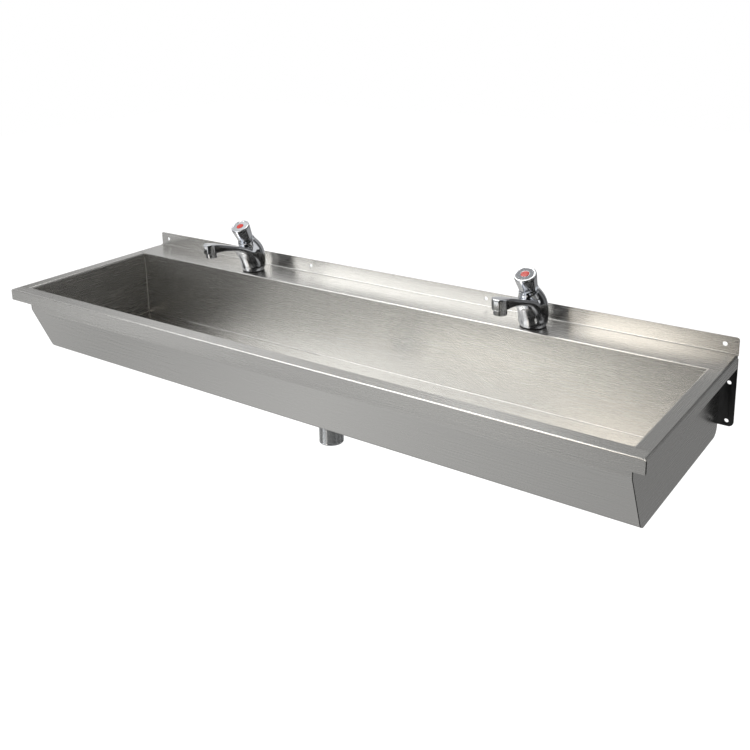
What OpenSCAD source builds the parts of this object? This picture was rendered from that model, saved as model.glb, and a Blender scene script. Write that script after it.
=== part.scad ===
// Wall-hung wash trough in folded sheet, with two self-closing push taps,
// a grated waste and a pair of wall brackets.
// +X runs to the right along the trough, -Y points out from the wall, +Z is up.
// The origin is on the wall, at mid length, level with the top of the rim.

/* [Trough sheet] */
// Overall length of the rim
trough_len = 1200; // [900:10:1800]
// Overall depth from the wall to the front lip
trough_depth = 375; // [340:5:480]
// Thickness of the sheet
sheet_t = 1.2; // [0.9:0.1:2]
// Depth of the basin from the rim to the floor
basin_depth = 128; // [110:2:220]
// Width of the flat rim at the front
rim_front = 24.5; // [18:0.5:40]
// Width of the flat rim at each end
rim_side = 23.5; // [20:0.5:40]
// Width of the rear deck, from the wall to the basin
deck_depth = 73.5; // [70:0.5:110]
// Height of the lip turned down along the front and the ends
lip_drop = 20; // [14:1:30]
// Height of the upstand against the wall
upstand_h = 26; // [20:1:60]
// Outside radius of the folds along the rim
rim_fold_r = 3.2; // [2.6:0.2:5]
// Radius in the corner between the deck and the upstand
upstand_fold_r = 2; // [1:0.5:5]
// Rounding of the upstand's top corners
upstand_corner_r = 4; // [1:0.5:8]
// Length of the upright part of the front wall, below the rim
front_drop = 42; // [30:1:60]
// How far the front wall leans in from its kink to the floor
front_lean = 38.5; // [20:0.5:80]
// Radius of the kink in the front wall
kink_r = 5; // [2:0.5:12]
// Inside radius where the front wall meets the floor
floor_front_r = 12.8; // [6:0.2:20]
// Inside radius where the back wall meets the floor
floor_back_r = 5; // [2:0.5:12]
// Rounding of the end panels' lower corner at the wall
panel_corner_r = 15; // [5:1:25]
// Width of the open slot between the lips at the front corners
corner_slot = 2; // [0.5:0.1:3]

/* [Wall fixings] */
// Distance from the end of the trough to the outer screw hole in the upstand
wall_hole_inset = 20; // [12:1:60]
// Distance between the two inner screw holes in the upstand
wall_hole_pitch = 378; // [200:2:700]
// Diameter of the screw holes in the upstand
wall_hole_d = 7; // [4:0.5:9]
// Thickness of the brackets' plate
bracket_t = 3; // [2:0.5:5]
// Drop of the brackets' plate below the rim
bracket_drop = 112; // [90:2:118]
// Gap between the underside of the deck and the brackets
bracket_head_gap = 4.8; // [3:0.2:10]
// Length of the brackets' arm along the end panels
bracket_arm = 62; // [45:1:66]
// Height of the arm at its tip
bracket_tip_h = 44; // [30:1:70]
// Rounding of the brackets' free corners
bracket_corner_r = 7; // [2:0.5:10]
// Diameter of the screw holes in the brackets
bracket_hole_d = 6.5; // [5:0.5:10]
// Height of the upper screw hole, below the rim
bracket_hole_z = 44; // [30:1:50]
// Distance between the two screw holes of a bracket
bracket_hole_pitch = 60; // [40:1:66]
// Distance from the end of the trough to the bracket's screw holes
bracket_hole_inset = 10; // [8:0.5:14]
// Diameter of the studs welded inside the end panels
stud_d = 6; // [4:1:8]
// Distance from the wall to the nearer stud
stud_near = 22; // [18:1:26]
// Distance between the two studs of a bracket
stud_pitch = 28; // [20:1:32]
// Depth of the studs below the rim
stud_z = 30; // [24:1:40]
// Clearance around the studs in the brackets' arm
stud_clearance = 0.4; // [0.2:0.1:1]

/* [Waste] */
// Outside diameter of the threaded waste tail
waste_tail_d = 41.9; // [38:0.1:48]
// Wall of the waste tail
waste_wall = 2.75; // [2:0.05:4]
// Drop of the waste tail below the basin's floor
waste_drop = 90.5; // [70:0.5:200]
// Diameter of the waste's top flange
waste_flange_d = 64; // [60:1:80]
// Thickness of the waste's top flange
waste_flange_t = 3.2; // [2.4:0.2:5]
// Depth of the round recess pressed into the floor for the flange
recess_depth = 4; // [3:0.1:8]
// Width of the flat margin around the flange in the recess
recess_margin = 1.5; // [0.5:0.1:4]
// Width of the recess's sloped side
recess_slope = 5; // [2:0.5:8]
// Clearance around the waste tail in the floor's hole
waste_hole_clearance = 1; // [0.5:0.1:2]
// Thickness of the seal under the flange
waste_seal_t = 1.2; // [0.8:0.1:2]
// Thickness of the soft washer under the floor
waste_washer_t = 4; // [2:0.5:8]
// Diameter of the soft washer under the floor
waste_washer_d = 58; // [54:1:70]
// Size of the waste nut across its flats
waste_nut_af = 54; // [50:1:64]
// Thickness of the waste nut
waste_nut_t = 9; // [6:0.5:14]
// Diameter of the loose grate
grate_d = 51; // [46:1:56]
// Thickness of the grate
grate_t = 1.6; // [1:0.1:2.2]
// Diameter of the holes in the grate
grate_hole_d = 5; // [3:0.5:5.5]
// Diameter of the grate's screw
grate_screw_d = 6; // [4:0.5:8]
// Length of the grate's screw
grate_screw_len = 16; // [12:0.5:22]
// Width of the bar across the waste that takes the screw
waste_bar_w = 10; // [9:0.5:14]
// Height of the bar across the waste
waste_bar_h = 8; // [5:0.5:12]

/* [Taps] */
// Distance between the two taps
tap_pitch = 594; // [300:2:760]
// Distance from the wall to the middle of a tap
tap_y = 44.7; // [42:0.1:56]
// Radius of a tap's foot
tap_foot_r = 21; // [19:0.1:22]
// Radius of a tap's column above the foot
tap_column_r = 24.2; // [22.6:0.1:25]
// Height of the flare from the foot to the column
tap_flare_h = 7; // [4:0.5:10]
// Height of the column's shoulder above the deck
tap_shoulder_h = 31; // [28:0.5:36]
// Thickness of the soft washer under a tap
tap_gasket_t = 1.6; // [1:0.1:3]
// Lean of the push button towards the front
button_lean = 26; // [15:1:35]
// Height at which the button's axis crosses the column's axis
button_pivot_h = 30; // [26:0.5:34]
// Distance along the button's axis to the rim of the tap's neck
neck_len = 38; // [36:0.5:44]
// Radius of the tap's neck at its rim
neck_r = 17; // [16.6:0.1:19]
// Reach of the outlet in front of the tap's column
spout_reach = 110; // [90:1:130]
// Height of the outlet's mouth above the deck
outlet_h = 51.5; // [44:0.5:60]
// Height of the spout's tip above the deck
spout_tip_h = 77.5; // [70:0.5:86]
// Radius of the spout's rounded end
spout_end_r = 12.6; // [11.6:0.1:14]
// Radius of the outlet ring
outlet_r = 10.4; // [9:0.1:11]
// Height of the outlet ring below the spout
outlet_ring_h = 8.5; // [6:0.5:12]

/* [Push buttons] */
// Radius of the button at its face
button_top_r = 17.6; // [16.5:0.1:19]
// Radius of the button's skirt where it enters the neck
button_skirt_r = 15; // [14.6:0.1:15.2]
// Height of the button above the neck
button_h = 33; // [28:0.5:38]
// Depth of the skirt inside the neck at rest
skirt_lap = 1.5; // [1:0.1:3]
// Clearance between the skirt and the neck
skirt_clearance = 0.4; // [0.3:0.05:0.6]
// Travel of the button
button_travel = 6; // [3:0.5:7]
// Number of grip flutes around the button
flutes = 6; // [4:1:10]
// Depth of the grip flutes
flute_depth = 1.6; // [0.8:0.1:1.6]
// Width of the rounded window that a flute ends in
flute_w = 14.4; // [10:0.2:15]
// Hollow radius of the flutes
flute_r = 120; // [60:10:200]
// Turn of the left and right buttons about their axes
button_turns = [45, 36];
// Radius of the coloured disc in the button's face
indicator_r = 6.6; // [4:0.1:8]
// Height of the coloured disc above the button's face
indicator_proud = 0.5; // [0.2:0.1:1]

/* [Tap works] */
// Radius of the spindle
spindle_r = 4; // [3:0.1:5]
// Running clearance around the spindle
spindle_clearance = 0.05; // [0.02:0.01:0.1]
// Radius of the spring's centre line
spring_r = 9; // [8:0.1:9.4]
// Radius of the spring's wire
spring_wire_r = 0.7; // [0.4:0.1:0.9]
// Number of turns in the spring
spring_turns = 7; // [4:1:10]
// Outside diameter of the threaded inlet tail
inlet_d = 20.955; // [18:0.005:26.5]
// Diameter of the water way in the inlet tail
inlet_bore_d = 14; // [8:0.5:16]
// Drop of the inlet tail below the rim
inlet_drop = 50; // [40:1:70]
// Clearance around the inlet tail in the deck's hole
inlet_clearance = 0.6; // [0.3:0.1:2]
// Size of the tap nut across its flats
tap_nut_af = 32; // [28:1:36]
// Thickness of the tap nut
tap_nut_t = 7; // [5:0.5:10]
// Diameter of the stiff washer under the deck
tap_washer_d = 38; // [34:1:44]
// Thickness of the stiff washer under the deck
tap_washer_t = 2.5; // [1.5:0.1:4]

/* [Hidden] */
$fn = 96;

steel = "#a9a8a4";
bright_steel = "#c4c5c6";
black_paint = "#161616";
chrome = "#d3d6da";
brass = "#b08d4b";
black_rubber = "#202020";
fibre = "#8a5a3a";
white_plastic = "#dcdcd6";
red_plastic = "#d8352b";

// How far a cutter runs past the face that it opens.
over = 1;
// Facets along one fold of the sheet.
fold_steps = 8;
half_len = trough_len / 2;
wall_face_x = half_len - rim_side;
front_wall_y = -trough_depth + rim_front;
floor_front_y = front_wall_y + front_lean;
back_wall_y = -deck_depth;
// The straight strips of the rim end where the next fold starts.
front_strip_y = front_wall_y - rim_fold_r;
deck_strip_y = back_wall_y + rim_fold_r;
lip_start_x = half_len - rim_fold_r;
lip_start_y = -trough_depth + rim_fold_r;
// The lips along the ends stop short of the bend of the upstand.
bend_depth = upstand_fold_r + sheet_t;
lip_relief = bend_depth + 0.8;

// ---- folded sheet ----

function unit(v) = v / norm(v);
function turn(a, b) = atan2(a[0] * b[1] - a[1] * b[0], a[0] * b[0] + a[1] * b[1]);
function rotated(v, a) = [v[0] * cos(a) - v[1] * sin(a), v[0] * sin(a) + v[1] * cos(a)];

// Points of one fold. c is [y, z, radius] on the sheet's show face, which lies
// to the left of the direction of travel; shift moves the line off that face.
function fold_points(before, c, after, shift) =
  let (d1 = unit([c[0] - before[0], c[1] - before[1]]),
       d2 = unit([after[0] - c[0], after[1] - c[1]]),
       bend = turn(d1, d2),
       side = sign(bend),
       start = [c[0], c[1]] - d1 * c[2] * tan(abs(bend) / 2),
       centre = start + rotated(d1, 90) * side * c[2],
       arm = unit(start - centre) * (c[2] - side * shift))
  [for (i = [0:fold_steps]) centre + rotated(arm, bend * i / fold_steps)];

function line_end(from, to, shift) =
  [to[0], to[1]] + rotated(unit([to[0] - from[0], to[1] - from[1]]), 90) * shift;

// The line through a list of corners, every inner one rounded.
function folded_line(cs, shift) =
  let (last = len(cs) - 1)
  concat(
    [line_end([2 * cs[0][0] - cs[1][0], 2 * cs[0][1] - cs[1][1]], cs[0], shift)],
    [for (i = [1:last - 1]) each fold_points(cs[i - 1], cs[i], cs[i + 1], shift)],
    [line_end(cs[last - 1], cs[last], shift)]);

function reversed(list) = [for (i = [len(list) - 1:-1:0]) list[i]];

// The cut edge of the sheet: its show face, and the other face one sheet away.
module sheet_section(cs) {
  polygon(concat(folded_line(cs, 0), reversed(folded_line(cs, -sheet_t))));
}

body_corners = [
  [-trough_depth, -lip_drop],
  [-trough_depth, 0, rim_fold_r],
  [front_wall_y, 0, rim_fold_r],
  [front_wall_y, -front_drop, kink_r],
  [floor_front_y, -basin_depth, floor_front_r],
  [back_wall_y, -basin_depth, floor_back_r],
  [back_wall_y, 0, rim_fold_r],
  [-sheet_t, 0, upstand_fold_r],
  [-sheet_t, upstand_h]
];

rim_corners = [
  [wall_face_x, -lip_drop],
  [wall_face_x, 0, rim_fold_r],
  [half_len, 0, rim_fold_r],
  [half_len, -lip_drop]
];

// Draws a Y-Z section, extruded from x0 to x1.
module along_x(x0, x1) {
  translate([x0, 0, 0])
    rotate([90, 0, 90])
      linear_extrude(height = x1 - x0)
        children();
}

// Draws an X-Z section, extruded from y0 to y1.
module along_y(y0, y1) {
  translate([0, y1, 0])
    rotate([90, 0, 0])
      linear_extrude(height = y1 - y0)
        children();
}

module block(low, high) {
  translate(low)
    cube(high - low);
}

module both_ends() {
  children();
  mirror([1, 0, 0])
    children();
}

// What the blank leaves out at its right end: the gap that the end panel
// fills, and the strip of deck and rim beside its lip.
module blank_notch() {
  low = -basin_depth - sheet_t - over;
  block([wall_face_x, front_strip_y, low], [half_len + over, deck_strip_y, over]);
  block([wall_face_x, lip_start_y, low], [half_len + over, -bend_depth, -sheet_t]);
  block([lip_start_x, lip_start_y, low], [half_len + over, -lip_relief, over]);
  block([half_len - sheet_t - corner_slot, -trough_depth - over, low],
        [half_len + over, lip_start_y, -rim_fold_r]);
  block([lip_start_x, -trough_depth - over, -rim_fold_r],
        [half_len + over, lip_start_y, over]);
}

module upstand_corner_cut() {
  translate([half_len - upstand_corner_r, -sheet_t, upstand_h - upstand_corner_r])
    difference() {
      block([0, -over, 0], [upstand_corner_r + over, sheet_t + over, upstand_corner_r + over]);
      translate([0, -2 * over, 0])
        rotate([-90, 0, 0])
          cylinder(r = upstand_corner_r, h = sheet_t + 4 * over);
    }
}

wall_hole_z = upstand_h / 2 + sheet_t / 2;

module wall_hole_cuts() {
  for (side = [-1, 1])
    for (x = [trough_len / 2 - wall_hole_inset, wall_hole_pitch / 2])
      translate([side * x, over, wall_hole_z])
        rotate([90, 0, 0])
          cylinder(d = wall_hole_d, h = sheet_t + 2 * over);
}

waste_y = (floor_front_y + back_wall_y) / 2;
recess_floor_r = waste_flange_d / 2 + recess_margin;
recess_r = recess_floor_r + recess_slope;
waste_hole_r = waste_tail_d / 2 + waste_hole_clearance;
recess_z = -basin_depth - recess_depth;
// How far the dish's edge runs into the cut edge of the floor, and its easing there.
dish_lap = 0.3;
dish_ease = 0.1;

// The dish pressed into the floor, which lets the waste sit flush.
module waste_recess() {
  translate([0, waste_y, -basin_depth])
    rotate_extrude()
      polygon([
        [waste_hole_r, -recess_depth],
        [recess_floor_r, -recess_depth],
        [recess_r, -dish_ease],
        [recess_r, dish_ease - sheet_t],
        [recess_floor_r + sheet_t / 4, -recess_depth - sheet_t],
        [waste_hole_r, -recess_depth - sheet_t]
      ]);
}

inlet_hole_r = inlet_d / 2 + inlet_clearance;

module trough_body() {
  color(steel) {
    difference() {
      along_x(-half_len, half_len)
        sheet_section(body_corners);
      both_ends() {
        blank_notch();
        upstand_corner_cut();
      }
      wall_hole_cuts();
      for (side = [-1, 1])
        translate([side * tap_pitch / 2, -tap_y, -sheet_t - over])
          cylinder(r = inlet_hole_r, h = sheet_t + 2 * over);
      translate([0, waste_y, -basin_depth - sheet_t - over])
        cylinder(r = recess_r - dish_lap, h = sheet_t + 2 * over);
    }
    waste_recess();
  }
}

// ---- end panels ----

panel_back_y = -bracket_t;
panel_low_z = -basin_depth - sheet_t;
// The sheet's outer face on the front wall, and the corner at the wall.
panel_corners = [
  [front_wall_y, -sheet_t],
  [front_wall_y, -front_drop, kink_r],
  [floor_front_y, -basin_depth, floor_front_r],
  [back_wall_y, -basin_depth]
];

module panel_outline() {
  difference() {
    polygon(concat(
      folded_line(panel_corners, -sheet_t),
      [[panel_back_y, panel_low_z], [panel_back_y, -sheet_t]]));
    translate([panel_back_y - panel_corner_r, panel_low_z + panel_corner_r])
      difference() {
        translate([0, -panel_corner_r - over])
          square([panel_corner_r + over, panel_corner_r + over]);
        circle(r = panel_corner_r);
      }
  }
}

// The wall of the basin, with its rim and lip folded from the same blank.
module end_panel() {
  color(steel) {
    difference() {
      along_x(wall_face_x, wall_face_x + sheet_t)
        panel_outline();
      block([wall_face_x - over, front_strip_y, -rim_fold_r - over],
            [wall_face_x + sheet_t + over, deck_strip_y, over]);
    }
    along_y(front_strip_y, deck_strip_y)
      difference() {
        sheet_section(rim_corners);
        translate([wall_face_x - over, -lip_drop - over])
          square([sheet_t + 2 * over, lip_drop - rim_fold_r]);
      }
    along_y(lip_start_y, -lip_relief)
      intersection() {
        sheet_section(rim_corners);
        translate([lip_start_x, -lip_drop])
          square([rim_fold_r, lip_drop]);
      }
    corner_weld();
  }
}

// A quarter of the rim's fold, filled: [distance outwards, height].
module filled_fold() {
  polygon(concat(
    [[0, 0]],
    [for (i = [0:fold_steps])
      rim_fold_r * [sin(90 * i / fold_steps), cos(90 * i / fold_steps)]]));
}

// The welded corner where the front and end folds of the rim meet.
module corner_weld() {
  intersection() {
    along_y(lip_start_y - rim_fold_r - over, lip_start_y)
      translate([lip_start_x, -rim_fold_r])
        filled_fold();
    along_x(lip_start_x, lip_start_x + rim_fold_r + over)
      translate([lip_start_y, -rim_fold_r])
        mirror([1, 0])
          filled_fold();
  }
}

module end_panel_right() {
  end_panel();
}

module end_panel_left() {
  mirror([1, 0, 0])
    end_panel();
}

// ---- wall brackets ----

bracket_top_z = -sheet_t - bracket_head_gap;
bracket_face_x = wall_face_x;
bracket_hole_x = half_len - bracket_hole_inset;

// The arm, inside the end panel: full height at the wall, lower at its tip.
module bracket_arm_outline() {
  tip_y = -bracket_arm;
  tip_z = bracket_top_z - bracket_tip_h;
  hull() {
    translate([-bracket_t, bracket_top_z - 1])
      square([bracket_t, 1]);
    translate([-bracket_t, -bracket_drop])
      square([bracket_t, 1]);
    translate([tip_y + bracket_corner_r, bracket_top_z - bracket_corner_r])
      circle(r = bracket_corner_r, $fn = 32);
    translate([tip_y + bracket_corner_r, tip_z + bracket_corner_r])
      circle(r = bracket_corner_r, $fn = 32);
  }
}

module bracket() {
  color(black_paint)
    difference() {
      union() {
        along_x(bracket_face_x - bracket_t, bracket_face_x)
          bracket_arm_outline();
        block([bracket_face_x - bracket_t, -bracket_t, -bracket_drop],
              [half_len, 0, bracket_top_z]);
      }
      translate([half_len - bracket_corner_r, -bracket_t - over, -bracket_drop + bracket_corner_r])
        difference() {
          block([0, 0, -bracket_corner_r - over],
                [bracket_corner_r + over, bracket_t + 2 * over, 0]);
          rotate([-90, 0, 0])
            cylinder(r = bracket_corner_r, h = bracket_t + 2 * over);
        }
      for (i = [0, 1])
        translate([bracket_hole_x, over, -bracket_hole_z - i * bracket_hole_pitch])
          rotate([90, 0, 0])
            cylinder(d = bracket_hole_d, h = bracket_t + 2 * over);
      at_studs()
        translate([0, 0, -over])
          cylinder(d = stud_d + 2 * stud_clearance, h = bracket_t + 2 * over);
    }
}

// The places of the two studs of the right bracket. Z runs inwards from the
// face of the end panel.
module at_studs() {
  for (i = [0, 1])
    translate([wall_face_x, -stud_near - i * stud_pitch, -stud_z])
      rotate([0, -90, 0])
        children();
}

stud_washer_t = 1.5;
stud_nut_t = stud_d * 0.8;
stud_nut_af = stud_d * 5 / 3;
stud_washer_r = stud_d;
stud_thread_gap = 0.05;
stud_stand_out = 3;
stud_len = bracket_t + stud_washer_t + stud_nut_t + stud_stand_out;

module bracket_right() {
  bracket();
}

module bracket_left() {
  mirror([1, 0, 0])
    bracket();
}

module bracket_studs() {
  color(bright_steel)
    both_ends()
      at_studs()
        cylinder(d = stud_d, h = stud_len);
}

module bracket_washers() {
  color(bright_steel)
    both_ends()
      at_studs()
        translate([0, 0, bracket_t])
          difference() {
            cylinder(r = stud_washer_r, h = stud_washer_t);
            translate([0, 0, -over])
              cylinder(d = stud_d + 2 * stud_clearance, h = stud_washer_t + 2 * over);
          }
}

// A hexagonal nut of a given size across its flats.
module hex_nut(af, h, bore_r) {
  difference() {
    cylinder(r = af / 2 / cos(30), h = h, $fn = 6);
    translate([0, 0, -over])
      cylinder(r = bore_r, h = h + 2 * over);
  }
}

module bracket_nuts() {
  color(bright_steel)
    both_ends()
      at_studs()
        translate([0, 0, bracket_t + stud_washer_t])
          hex_nut(stud_nut_af, stud_nut_t, stud_d / 2 + stud_thread_gap);
}

// ---- waste ----

waste_tail_r = waste_tail_d / 2;
waste_bore_r = waste_tail_r - waste_wall;
flange_low_z = recess_z + waste_seal_t;
flange_top_z = flange_low_z + waste_flange_t;
grate_gap = 0.5;
flange_ease = 0.6;
grate_seat_z = flange_top_z - grate_t;
floor_under_z = recess_z - sheet_t;
thread_gap = 0.05;
bar_gap = 1.5;
seal_inset = 1;
bar_top_z = grate_seat_z - bar_gap;

module at_waste(z) {
  translate([0, waste_y, z])
    children();
}

waste_flange_r = waste_flange_d / 2;
grate_seat_r = grate_d / 2 + grate_gap;
waste_low_z = -basin_depth - waste_drop;
// The groove where a thread ends, just below its nut.
relief_gap = 0.5;
relief_w = 1.5;
relief_deep = 0.6;
waste_relief_z = floor_under_z - waste_washer_t - waste_nut_t - relief_gap;

module waste_body() {
  relief_low = waste_relief_z - relief_w;
  color(chrome) {
    at_waste(0)
      rotate_extrude()
        polygon([
          [waste_bore_r, waste_low_z],
          [waste_tail_r, waste_low_z],
          [waste_tail_r, relief_low],
          [waste_tail_r - relief_deep, relief_low],
          [waste_tail_r - relief_deep, waste_relief_z],
          [waste_tail_r, waste_relief_z],
          [waste_tail_r, flange_low_z],
          [waste_flange_r - flange_ease, flange_low_z],
          [waste_flange_r, flange_low_z + flange_ease],
          [waste_flange_r, flange_top_z - flange_ease],
          [waste_flange_r - flange_ease, flange_top_z],
          [grate_seat_r, flange_top_z],
          [grate_seat_r, grate_seat_z],
          [waste_bore_r, grate_seat_z]
        ]);
    difference() {
      intersection() {
        at_waste(bar_top_z - waste_bar_h)
          cylinder(r = waste_bore_r + waste_wall / 2, h = waste_bar_h);
        block([-waste_tail_d, waste_y - waste_bar_w / 2, bar_top_z - waste_bar_h],
              [waste_tail_d, waste_y + waste_bar_w / 2, bar_top_z]);
      }
      at_waste(bar_top_z - waste_bar_h - over)
        cylinder(d = grate_screw_d + 2 * thread_gap, h = waste_bar_h + 2 * over);
    }
  }
}

grate_head_r = grate_screw_d * 0.95;
grate_head_h = grate_head_r - grate_screw_d / 2;
// The grate's rings of holes: count, and radius as a part of the grate's diameter.
grate_rings = [[6, 0.2255], [12, 0.3824]];
// How far the cutter of the screw's seat passes the seat's two rims.
sink_over = 0.01;

module waste_grate() {
  color(chrome)
    at_waste(grate_seat_z)
      difference() {
        cylinder(d = grate_d, h = grate_t);
        for (ring = grate_rings)
          for (i = [0:ring[0] - 1])
            rotate([0, 0, (i + 0.5) * 360 / ring[0]])
              translate([ring[1] * grate_d, 0, -over])
                cylinder(d = grate_hole_d, h = grate_t + 2 * over, $fn = 32);
        translate([0, 0, -over])
          cylinder(d = grate_screw_d + 2 * thread_gap, h = grate_t + 2 * over);
        translate([0, 0, grate_t - grate_head_h - sink_over])
          cylinder(r1 = grate_screw_d / 2, r2 = grate_head_r + sink_over,
                   h = grate_head_h + 2 * sink_over);
      }
}

module waste_screw() {
  slot_w = 1;
  slot_deep = 1.2;
  color(bright_steel)
    at_waste(flange_top_z)
      difference() {
        union() {
          translate([0, 0, -grate_screw_len])
            cylinder(d = grate_screw_d, h = grate_screw_len);
          translate([0, 0, -grate_head_h - thread_gap])
            cylinder(r1 = grate_screw_d / 2, r2 = grate_head_r - thread_gap, h = grate_head_h);
        }
        block([-grate_head_r - over, -slot_w / 2, -slot_deep],
              [grate_head_r + over, slot_w / 2, over]);
      }
}

module ring(r_out, r_in, h) {
  difference() {
    cylinder(r = r_out, h = h);
    translate([0, 0, -over])
      cylinder(r = r_in, h = h + 2 * over);
  }
}

module waste_seal() {
  color(black_rubber)
    at_waste(recess_z)
      ring(waste_flange_r - seal_inset, waste_hole_r, waste_seal_t);
}

module waste_washer() {
  color(black_rubber)
    at_waste(floor_under_z - waste_washer_t)
      ring(waste_washer_d / 2, waste_tail_r + thread_gap, waste_washer_t);
}

module waste_nut() {
  color(brass)
    at_waste(floor_under_z - waste_washer_t - waste_nut_t)
      hex_nut(waste_nut_af, waste_nut_t, waste_tail_r + thread_gap);
}

// ---- taps ----

// Heights in a tap are above the deck; its spout points to -Y.
module at_tap(side) {
  translate([side * tap_pitch / 2, -tap_y, 0])
    children();
}

// Z runs along the button's axis, from where it crosses the column's axis.
module on_button_axis(along) {
  translate([0, 0, button_pivot_h])
    rotate([button_lean, 0, 0])
      translate([0, 0, along])
        children();
}

cup_spare = 1.5;
cup_depth = skirt_lap + button_travel + cup_spare;
cup_r = button_skirt_r + skirt_clearance;
cup_floor = neck_len - cup_depth;
chamber_r = 11;
chamber_floor = 1;
inlet_bore_r = inlet_bore_d / 2;
spout_ceiling_h = outlet_h + outlet_ring_h;
outlet_plug_h = 4;
outlet_plug_r = outlet_r - 1.4;
outlet_bore_r = outlet_plug_r - 1;
ring_gap = 0.05;

// One station of the spout: distance in front of the column's axis, height of
// its top and underside, and half its width.
spout_stations = [
  [0, 52, 10, 21.5],
  [10, 53, 14, 21.8],
  [17, 54, 19, 21.4],
  [22, 55, 25, 20.6],
  [27, 56, 31.5, 19.6],
  [33, 57.2, 37.5, 18.4],
  [41, 58.8, 43, 16.9],
  [51, 61.2, 48, 15.3],
  [63, 64.6, 52.2, 13.9],
  [76, 68.3, 55.6, 12.9],
  [88, 71.6, 57.6, 12.3],
  [97, 73.8, 58.4, 12.0]
];
// The reach, tip height and underside of the spout that the stations draw.
drawn_reach = 107;
drawn_tip_h = 76;
drawn_ceiling_h = 58.5;
drawn_last = 97;
spout_sides = 28;
// Squareness of the spout's section: 2 is an ellipse.
section_power = 2.6;

function signed_power(v, p) = sign(v) * pow(abs(v), p);

// Stations scaled from the drawn spout to its set reach and heights.
function spout_ring(s) =
  let (reach = s[0] * spout_reach / drawn_reach,
       top = s[1] + (spout_tip_h - drawn_tip_h) * s[0] / drawn_last,
       low = s[2] + (spout_ceiling_h - drawn_ceiling_h) * s[0] / drawn_last,
       mid = (top + low) / 2,
       half_h = (top - low) / 2)
  [for (i = [0:spout_sides - 1])
    let (a = 360 * i / spout_sides)
    [s[3] * signed_power(cos(a), 2 / section_power),
     -reach,
     mid + half_h * signed_power(sin(a), 2 / section_power)]];

// The tapering arm of the spout, lofted through its stations.
module spout_arm() {
  rings = [for (s = spout_stations) spout_ring(s)];
  count = len(rings);
  points = [for (r = rings) each r];
  sides = [
    for (k = [0:count - 2])
      for (i = [0:spout_sides - 1])
        let (a = k * spout_sides + i,
             b = k * spout_sides + (i + 1) % spout_sides)
        each [[a, b + spout_sides, b], [a, a + spout_sides, b + spout_sides]]
  ];
  near_cap = [for (i = [0:spout_sides - 1]) i];
  far_cap = [for (i = [spout_sides - 1:-1:0]) (count - 1) * spout_sides + i];
  polyhedron(points = points, faces = concat(sides, [near_cap, far_cap]), convexity = 4);
}

// The rounded end of the spout, with its top edge eased.
module spout_end() {
  ease = 3;
  low_ease = 0.8;
  tip_h = spout_tip_h - 0.6;
  translate([0, -spout_reach, 0])
    rotate_extrude()
      polygon(concat(
        [[0, spout_ceiling_h]],
        [[spout_end_r - low_ease, spout_ceiling_h]],
        [[spout_end_r, spout_ceiling_h + low_ease]],
        [for (i = [0:6])
          [spout_end_r - ease + ease * cos(i * 15), tip_h - ease + ease * sin(i * 15)]],
        [[0, tip_h]]));
}

// The column with its flared foot.
module tap_column() {
  foot_ease = 0.6;
  rotate_extrude()
    polygon(concat(
      [[0, tap_gasket_t]],
      [[tap_foot_r - foot_ease, tap_gasket_t]],
      [for (i = [0:6])
        [tap_foot_r + (tap_column_r - tap_foot_r) * sin(i * 15),
         tap_gasket_t + foot_ease + tap_flare_h * (1 - cos(i * 15))]],
      [[tap_column_r, tap_shoulder_h], [0, tap_shoulder_h]]));
}

// The neck, blended from the column's round shoulder to its own tilted rim.
module tap_neck() {
  band = 2.5;
  ease = 0.5;
  hull() {
    translate([0, 0, tap_shoulder_h - 1])
      cylinder(r = tap_column_r, h = 1, $fn = 32);
    on_button_axis(neck_len - band)
      cylinder(r = neck_r, h = band - ease, $fn = 32);
    on_button_axis(neck_len - ease)
      cylinder(r = neck_r - ease, h = ease, $fn = 32);
  }
}

// How far the inlet tail screws up into the column.
tail_socket = 12;

module tap_body(side) {
  color(chrome)
    at_tap(side)
      difference() {
        union() {
          tap_column();
          tap_neck();
          spout_arm();
          spout_end();
        }
        on_button_axis(cup_floor)
          cylinder(r = cup_r, h = cup_depth + over);
        on_button_axis(chamber_floor)
          cylinder(r = chamber_r, h = cup_floor - chamber_floor + over);
        translate([0, 0, -over])
          cylinder(r = inlet_d / 2, h = tap_gasket_t + tail_socket + over);
        translate([0, 0, tap_gasket_t])
          cylinder(r = inlet_bore_r, h = button_pivot_h - tap_gasket_t);
        translate([0, -spout_reach, spout_ceiling_h - over])
          cylinder(r = outlet_plug_r, h = outlet_plug_h + over);
      }
}

module tap_gasket(side) {
  color(black_rubber)
    at_tap(side)
      ring(tap_foot_r - 0.3, inlet_d / 2 + ring_gap, tap_gasket_t);
}

// The ring that screws up into the spout's end.
module tap_outlet_ring(side) {
  lip_ease = 0.5;
  color(chrome)
    at_tap(side)
      translate([0, -spout_reach, outlet_h])
        difference() {
          union() {
            cylinder(r1 = outlet_r - lip_ease, r2 = outlet_r, h = lip_ease);
            translate([0, 0, lip_ease])
              cylinder(r = outlet_r, h = outlet_ring_h - lip_ease);
            cylinder(r = outlet_plug_r - ring_gap, h = outlet_ring_h + outlet_plug_h - lip_ease);
          }
          translate([0, 0, -over])
            cylinder(r = outlet_bore_r, h = outlet_ring_h + outlet_plug_h + 2 * over);
        }
}

flow_slots = 12;
flow_slot_w = 1.1;

// The slotted insert that straightens the stream.
module tap_flow_insert(side) {
  insert_h = 5;
  rise = 1.2;
  slot_in = 2.2;
  slot_out = outlet_bore_r - 1.6;
  color(white_plastic)
    at_tap(side)
      translate([0, -spout_reach, outlet_h + rise])
        difference() {
          cylinder(r = outlet_bore_r - ring_gap, h = insert_h);
          for (i = [0:flow_slots - 1])
            rotate([0, 0, i * 360 / flow_slots])
              block([slot_in, -flow_slot_w / 2, -over],
                    [slot_out, flow_slot_w / 2, insert_h + over]);
        }
}

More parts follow.
